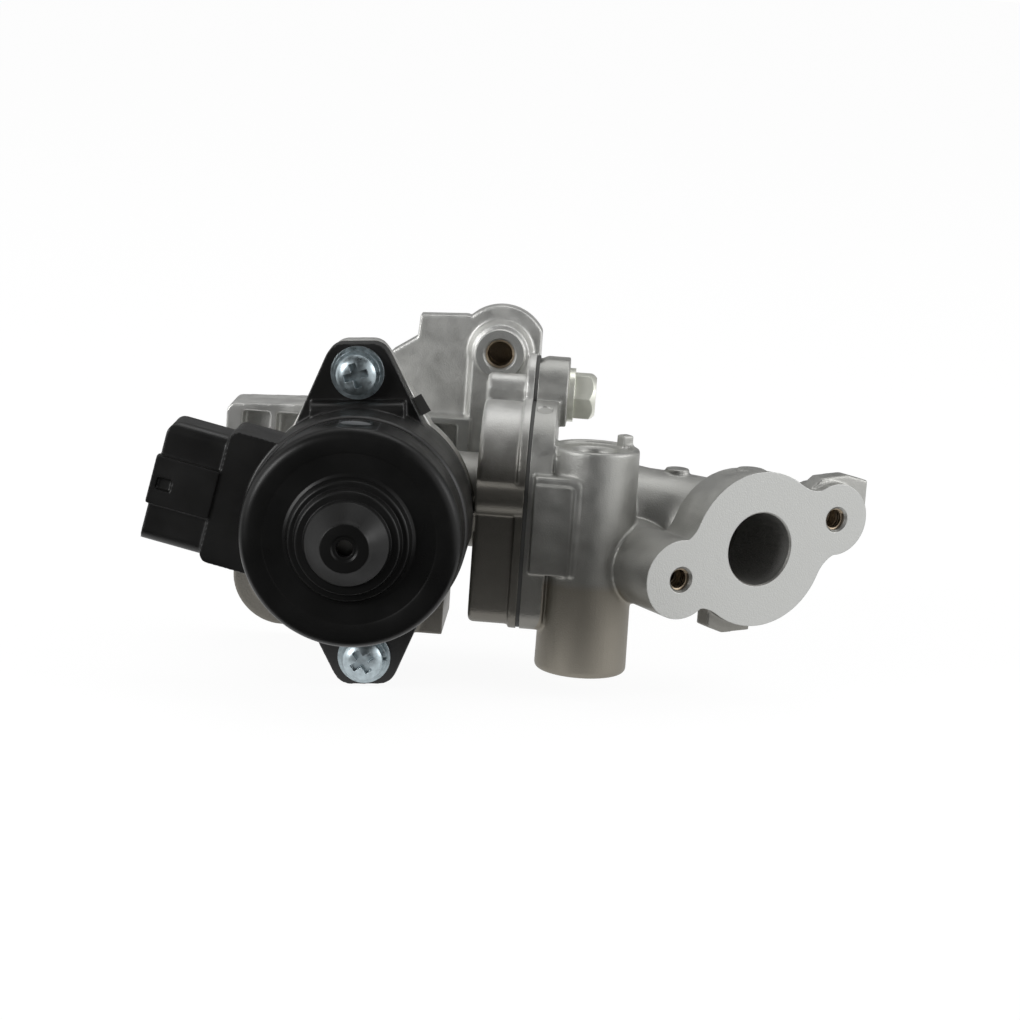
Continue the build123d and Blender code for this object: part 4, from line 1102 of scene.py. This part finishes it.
# the floor of the mark is painted a lighter grey than the cap: painted highlight
mark_highlight_mask = group_node(tree, NEAR_PLANE, direction=(0, 0, 1), offset=MARK_FLOOR, reach=MARK_REACH)
overlay(tree, shader, colour, rough, mark_highlight_mask.outputs["Mask"], MARK_HIGHLIGHT_GREY, MARK_ROUGH)
zinc = plain("zinc_plate", (0.44, 0.51, 0.54), metallic=0.92, roughness=0.34,
             edge_radius=0.12 * MM, grain_size=0.2 * MM, grain_height=0.006 * MM,
             edge_colour=(0.6, 0.66, 0.7), cloud_size=1.5 * MM, tone_change=0.25)
bolt_zinc = plain("bolt_plate", (0.97, 0.98, 0.88), metallic=0.55, roughness=0.32,
                  edge_radius=0.25 * MM, grain_size=0.2 * MM, grain_height=0.005 * MM,
                  edge_colour=(0.75, 0.76, 0.68))
print("finishes", case_plastic.name, cap_paint.name, zinc.name, bolt_zinc.name)

# %% Plain finishes of the small and the hidden pieces
# name, colour, metallic and roughness, then edge radius, grain size and grain height in mm
SKIN_ROWS = [
    ("oiled_thread", (0.36, 0.29, 0.21), 0.8, 0.4, 0.04, 0.1, 0.004),
    ("gasket_coat", (0.08, 0.08, 0.077), 0.0, 0.6, 0.1, 0.1, 0.01),
    ("turned_steel", (0.42, 0.41, 0.39), 1.0, 0.32, 0.15, 0.1, 0.004),
    ("spring_wire", (0.3, 0.3, 0.31), 1.0, 0.35, 0.1, 0.1, 0.004),
    ("sintered_bronze", (0.45, 0.3, 0.14), 1.0, 0.4, 0.1, 0.1, 0.01),
    ("seal_rubber", (0.015, 0.015, 0.015), 0.0, 0.55, 0.1, 0.2, 0.005),
    ("enamelled_copper", (0.45, 0.16, 0.06), 1.0, 0.35, 0.1, 0.15, 0.02),
    ("ferrite", (0.05, 0.05, 0.055), 0.3, 0.5, 0.15, 0.1, 0.01),
    ("tinned_brass", (0.62, 0.6, 0.54), 1.0, 0.28, 0.08, 0.1, 0.004),
]
SKINS = {}
for name, tint, metallic, roughness, *sizes in SKIN_ROWS:
    SKINS[name] = plain(name, tint, metallic, roughness, *(size * MM for size in sizes))
print(len(bpy.data.materials), "materials")

# %% Screws and threads from their trees
blank = bpy.data.meshes.new("blank")
motor_screws = tree_result("motor_screws", SCREW_TREE, blank, {"Seed": SCREW_SEED}, zinc)
smooth(motor_screws)
mouths = [(mouth - way * THREAD_START, -way, radius) for mouth, way, radius in TAPPED]
threads = tree_result("tapped_threads", THREAD_TREE, hole_points(mouths), {},
                      SKINS["oiled_thread"])
smooth(threads)

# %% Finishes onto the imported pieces
FINISH_OF_SLOT = {
    "case_plastic": case_plastic, "cap_black": cap_paint, "zinc_steel": zinc,
    "valve_steel": SKINS["turned_steel"], "bearing_steel": SKINS["turned_steel"],
    "spring_steel": SKINS["spring_wire"], "gasket_sheet": SKINS["gasket_coat"],
    "seal_rubber": SKINS["seal_rubber"], "bronze": SKINS["sintered_bronze"],
    "copper_wire": SKINS["enamelled_copper"], "magnet": SKINS["ferrite"],
    "terminal_tin": SKINS["tinned_brass"],
}
FINISH_OF_NODE = {
    "valve_housing": valve_skin, "joint_housing": joint_skin,
    "joint_bolt_upper": bolt_zinc, "joint_bolt_lower": bolt_zinc,
}
for name, piece in nodes.items():
    piece.data.materials.clear()
    piece.data.materials.append(FINISH_OF_NODE.get(name) or FINISH_OF_SLOT[SLOT_OF[name]])
print("dressed", len(nodes), "packed pieces")

# %% [markdown]
# ## New pieces on their bodies
#
# Each new piece rides on the body of what it stands for, so it moves as the real one does.

# %% New pieces take their places
CAST_SHARP = radians(40)
for piece in (valve_cast, joint_cast, case_moulding):
    smooth(piece, CAST_SHARP)
stand_for(valve_cast, valve_skin, "valve_housing")
stand_for(joint_cast, joint_skin, "joint_housing")
stand_for(case_moulding, case_plastic, "motor_case")
stand_for(cap_turning, cap_paint, "motor_cap")
stand_for(motor_screws, zinc, "motor_screw_upper", "motor_screw_lower")
threads.data.materials.clear()
threads.data.materials.append(SKINS["oiled_thread"])
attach(threads, "housing")
print("new pieces in place")

# %% Return spring
work = bmesh.new()
work.from_mesh(nodes["return_spring"].data)
spring = as_piece(work, "return_spring_wire")
smooth(spring)
stand_for(spring, SKINS["spring_wire"], "return_spring")
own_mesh(spring)
